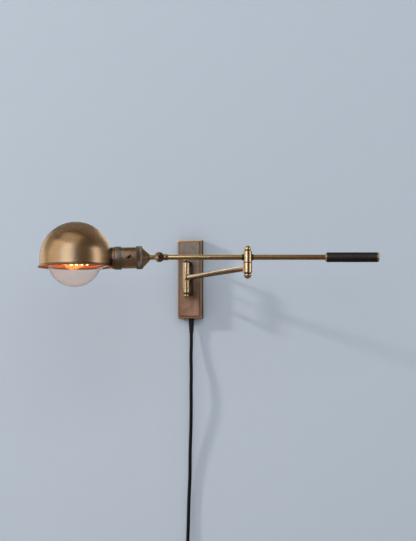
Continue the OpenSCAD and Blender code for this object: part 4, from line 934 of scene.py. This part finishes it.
shade.data.polygons.foreach_get("normal", normals)
normals = normals.reshape(-1, 3) @ dome[:3, :3]
shade = partly(shade, inside_brass_painted_glow, dome, lambda at: (normals * np.maximum(at, [-99, -99, 0])).sum(1) < 0)


# Bulb: a clear blown globe of thin glass on a threaded brass base, with a glass stem and a long wound
# filament that glows. It is screwed into the lampholder's mouth.
bulb = head @ np.array(Matrix.Translation((56.8, 0, 0)) @ Matrix.Rotation(math.radians(0.6), 4, "Y"))
globe_radius, globe_middle, fillet, neck = 47.5, 89.5, 22.0, 13.2
fillet_from = math.sqrt((globe_radius + fillet) ** 2 - (neck + fillet) ** 2)
tangent_at = math.atan2(neck + fillet, fillet_from)
a = np.linspace(0, np.pi - tangent_at, 120)[:-1]
b = np.linspace(tangent_at, np.pi / 2, 24)


def glass_wall(inset):
    """The globe's circle, then the fillet's, each moved in by the inset, as (height, radius) rows from the
    far end. They meet where the line between the two circles' middles crosses both."""
    inner, bend = globe_radius - inset, fillet + inset
    globe = np.stack([globe_middle + inner * np.cos(a), inner * np.sin(a)], -1)
    sweep = np.stack([globe_middle - fillet_from + bend * np.cos(b), neck + fillet - bend * np.sin(b)], -1)
    return np.vstack([globe, sweep, [[25.2, neck - inset]]])


glass = bpy.data.materials.new("globe_glass")
nodes, links, shader = plain_nodes(glass, (0.99, 0.95, 0.90), 0.02)
# The glass's faint warm emission is a painted glow, for the warm light seen in the clear globe.
shader.inputs["Emission Color"].default_value = (1.0, 0.76, 0.64, 1)
shader.inputs["Emission Strength"].default_value = 0.004
shader.inputs["Transmission Weight"].default_value = 1.0
shader.inputs["IOR"].default_value = 1.45
cloud, smear = speckle(nodes, links, 14, 3), speckle(nodes, links, 45, 4)
tint = graded(nodes, links, cloud, 0.3, 0.7, [(0.97, 0.92, 0.845), (0.99, 0.945, 0.88)])
links.new(tint, shader.inputs["Base Color"])
links.new(ranged(nodes, links, smear, 0.35, 0.7, 0.01, 0.04), shader.inputs["Roughness"])


def cleared(nodes, links, shader, share, colour=(1, 1, 1)):
    """A surface that goes from the shader to plain clearness of a colour as the share goes from 0 to 1."""
    clear, either = nodes.new("ShaderNodeBsdfTransparent"), nodes.new("ShaderNodeMixShader")
    clear.inputs["Color"].default_value = (*colour, 1)
    links.new(share, either.inputs["Fac"])
    links.new(shader.outputs["BSDF"], either.inputs[1])
    links.new(clear.outputs["BSDF"], either.inputs[2])
    links.new(either.outputs["Shader"], nodes["Material Output"].inputs["Surface"])


# Light that makes shadows goes through the glass with only a slight tint, because a real globe casts next to
# none.
cleared(nodes, links, shader, nodes.new("ShaderNodeLightPath").outputs["Is Shadow Ray"], (0.97, 0.94, 0.90))
glass_thick = 0.8
profile = np.vstack([glass_wall(0.0), glass_wall(glass_thick)[::-1]])
shape = sheet_of(turned_along(bulb, profile, 160), True, "open")
globe = piece("globe", shape, glass, "head", ("bulb_glass",), 60)

# The thread's radius is R + d cos(2 pi h / p - v), so its crest climbs by one pitch a turn.
thread_radius, thread_deep, thread_pitch = 12.82, 0.28, 3.6
h = np.linspace(6.2, 23.5, 160)
v = np.linspace(0, 2 * np.pi, 96, endpoint=False)
thread = thread_radius + thread_deep * np.cos(2 * np.pi * h[:, None] / thread_pitch - v)
foot, rim = [np.tile(np.array(radii)[:, None], (1, len(v)))
             for radii in ([4.4, 8.0, 12.4], [13.0, 13.0, 12.3, 12.3])]
r = np.vstack([foot, thread, rim])
z = np.concatenate([[3.0, 3.0, 5.8], h, [24.2, 25.1, 25.1, 7.0]])
threaded = np.stack([np.broadcast_to(z[:, None], r.shape), r * np.cos(v), r * np.sin(v)], -1)
shape = sheet_of(placed(bulb, threaded), True, "loop")
piece("bulb_thread", shape, blade_brass, "head", ("bulb_base",), 40)
cad["bulb_tip"].data.materials[0] = brushed_metal("solder", (0.30, 0.30, 0.29), (0.55, 0.54, 0.51), 0.4,
                                                  (300, 300, 300))

stem_glass = bpy.data.materials.new("stem_glass")
nodes, links, shader = plain_nodes(stem_glass, (0.97, 0.95, 0.93), 0.05)
shader.inputs["Transmission Weight"].default_value = 1.0
smear = speckle(nodes, links, 160, 3)
links.new(ranged(nodes, links, smear, 0.3, 0.7, 0.03, 0.12), shader.inputs["Roughness"])
profile = eased([(20.0, 0), (20.0, 12.0), (21.4, 12.0), (26, 6.2), (32, 3.6), (56, 3.4), (59.5, 3.0),
                 (61.5, 1.1), (108, 0.9), (108.4, 0.0)], 2.0, 6)
shape = sheet_of(turned_along(bulb, profile, 48), True)
piece("bulb_glass_stem", shape, stem_glass, "head", ("bulb_stem",), 60)

glow = bpy.data.materials.new("filament_glow")
nodes, links, shader = plain_nodes(glow, (0.9, 0.5, 0.2), 0.6)
shader.inputs["Emission Color"].default_value = (1.0, 0.60, 0.27, 1)
shader.inputs["Emission Strength"].default_value = 9
hot = graded(nodes, links, speckle(nodes, links, 400, 3), 0.3, 0.7, [(0.8, 0.38, 0.12), (1.0, 0.6, 0.25)])
links.new(hot, shader.inputs["Base Color"])
# The filament is a helix round the stem. Over its first and last half turn it comes in to the stem.
filament_turns, filament_from, filament_pitch, filament_wide, filament_in = 4.5, 61.0, 9.2, 10, 1.7
u = np.arange(0, filament_turns + 1e-9, 1 / 64)
ends = np.minimum(np.minimum(u, filament_turns - u), 0.5)
wound = filament_in + (filament_wide - filament_in) * np.sin(np.pi * ends)
helix = np.stack([filament_from + filament_pitch * u, wound * np.cos(2 * np.pi * u),
                  wound * np.sin(2 * np.pi * u)], -1)
shape = sheet_of(placed(bulb, tube_along(helix, 0.7, 12, (1, 0, 0))), True)
filament = piece("filament_thread", shape, glow, "head", ("bulb_filament",), 60)

# A small warm lamp at the filament lights the inside of the shade. It moves with the filament.
warm = bpy.data.lights.new("bulb_light", "POINT")
warm.energy = 1.1
warm.color = (1.0, 0.36, 0.10)
warm.shadow_soft_size = 0.02
warm_at = bpy.data.objects.new("bulb_light", warm)
warm_at.location = (placed(bulb, [86, 0, 0]) * MM).tolist()
warm_at.visible_camera = warm_at.visible_transmission = warm_at.visible_diffuse = False
bpy.context.scene.collection.objects.link(warm_at)
warm_at.parent = filament


# Stage: the pale wall that the lamp hangs on, a pale floor below the cord's end, soft studio lights, and
# bright panels that only the metal and the glass mirror.
def plane(name, corners, colour, mirrored):
    """A flat sheet seen from its front only, with one colour when looked at and one when mirrored in the
    metal. What all but touches it is lit through it, so the lamp's back isn't black when it is seen from
    behind."""
    mesh = bpy.data.meshes.new(name)
    mesh.from_pydata(corners, [], [tuple(range(len(corners)))])
    obj = bpy.data.objects.new(name, mesh)
    material = bpy.data.materials.new(name)
    nodes, links, shader = plain_nodes(material, colour, 0.85)
    shader.inputs["Specular IOR Level"].default_value = 0.2
    rays = nodes.new("ShaderNodeLightPath").outputs
    mirrored_ray, glass_ray = rays["Is Glossy Ray"], rays["Is Transmission Ray"]
    in_metal = worked(nodes, links, "SUBTRACT", mirrored_ray, glass_ray, clamp=True)
    links.new(mixed(nodes, links, in_metal, colour, mirrored), shader.inputs["Base Color"])
    touching = worked(nodes, links, "LESS_THAN", rays["Ray Length"], 0.004)
    from_behind = nodes.new("ShaderNodeNewGeometry").outputs["Backfacing"]
    cleared(nodes, links, shader, worked(nodes, links, "MAXIMUM", touching, from_behind))
    mesh.materials.append(material)
    bpy.context.scene.collection.objects.link(obj)
    return obj


wall_at, floor_at, half_width, room_top, room_front = 0.0006, -0.75, 3, 3, -6
wall = plane("wall", [(-half_width, wall_at, floor_at), (half_width, wall_at, floor_at),
                      (half_width, wall_at, room_top), (-half_width, wall_at, room_top)],
             (0.469, 0.518, 0.587), (0.28, 0.26, 0.24))
floor = plane("floor", [(-half_width, room_front, floor_at), (half_width, room_front, floor_at),
                        (half_width, wall_at, floor_at), (-half_width, wall_at, floor_at)],
              (0.62, 0.62, 0.61), (0.19, 0.14, 0.11))


def soft_light(name, place, aim, size, energy, colour=(1, 1, 1)):
    """A rectangular lamp of a width and a height in metres at a place, turned to face its aim."""
    lamp = bpy.data.lights.new(name, "AREA")
    lamp.shape = "RECTANGLE"
    lamp.size, lamp.size_y = size
    lamp.energy = energy
    lamp.color = colour
    obj = bpy.data.objects.new(name, lamp)
    toward = Vector(aim) - Vector(place)
    obj.matrix_world = Matrix.Translation(place) @ toward.to_track_quat("-Z", "Y").to_matrix().to_4x4()
    bpy.context.scene.collection.objects.link(obj)
    return obj


for lamp in (
    soft_light("key", (-3.4, -1.26, 1.45), (0.05, 0, -0.02), (0.3, 0.3), 85, (1.0, 0.97, 0.93)),
    soft_light("fill", (0.8, -3.35, 1.3), (0, 0, 0), (2.2, 2.2), 38),
):
    lamp.visible_glossy = False
for panel in (
    soft_light("left", (-2.72, -1.7, 1.25), (-0.1, -0.25, 1.25), (2.67, 3.5), 28),
    soft_light("front", (-1.05, -3.75, 1.45), (-0.1, -0.25, 1.45), (2.5, 3.9), 64, (0.90, 1.04, 1.38)),
    soft_light("right", (2.87, -0.67, 0.6), (-0.1, -0.25, 0.6), (1.3, 2.05), 17, (0.96, 1.04, 1.28)),
    soft_light("above", (-0.5, -1.45, 2.2), (-0.1, -0.2, 0), (2.4, 1.7), 8.0),
    soft_light("wall_left", (-1.43, -0.001, 0.15), (-1.43, -1, 0.15), (2.0, 0.34), 2.1),
    soft_light("wall_beside", (-0.08, -0.001, 0.10), (-0.08, -1, 0.10), (0.10, 0.24), 0.075),
    soft_light("wall_over", (0.045, -0.001, 0.2), (0.045, -1, 0.2), (0.15, 0.24), 0.105),
):
    panel.visible_diffuse = panel.visible_camera = panel.visible_transmission = False


# Room: an even pale light from all sides. In the metal and the glass it is dark towards the front of the room
# and bright behind the wall, which lights the lamp's back when it is seen from there.
world = bpy.data.worlds.new("room")
bpy.context.scene.world = world
world.use_nodes = True
nodes, links = world.node_tree.nodes, world.node_tree.links
backwards = ranged(nodes, links, axes_of(nodes, links, "Generated")["Y"], 0.0, 0.4, 0, 1)
reflected = graded(nodes, links, backwards, 0, 1, [(0.12, 0.095, 0.075), (0.55, 0.53, 0.50)])
in_metal = nodes.new("ShaderNodeLightPath").outputs["Is Glossy Ray"]
room = mixed(nodes, links, in_metal, (0.51, 0.54, 0.56), reflected)
links.new(room, nodes["Background"].inputs["Color"])
bpy.context.scene.view_settings.view_transform = "Standard"
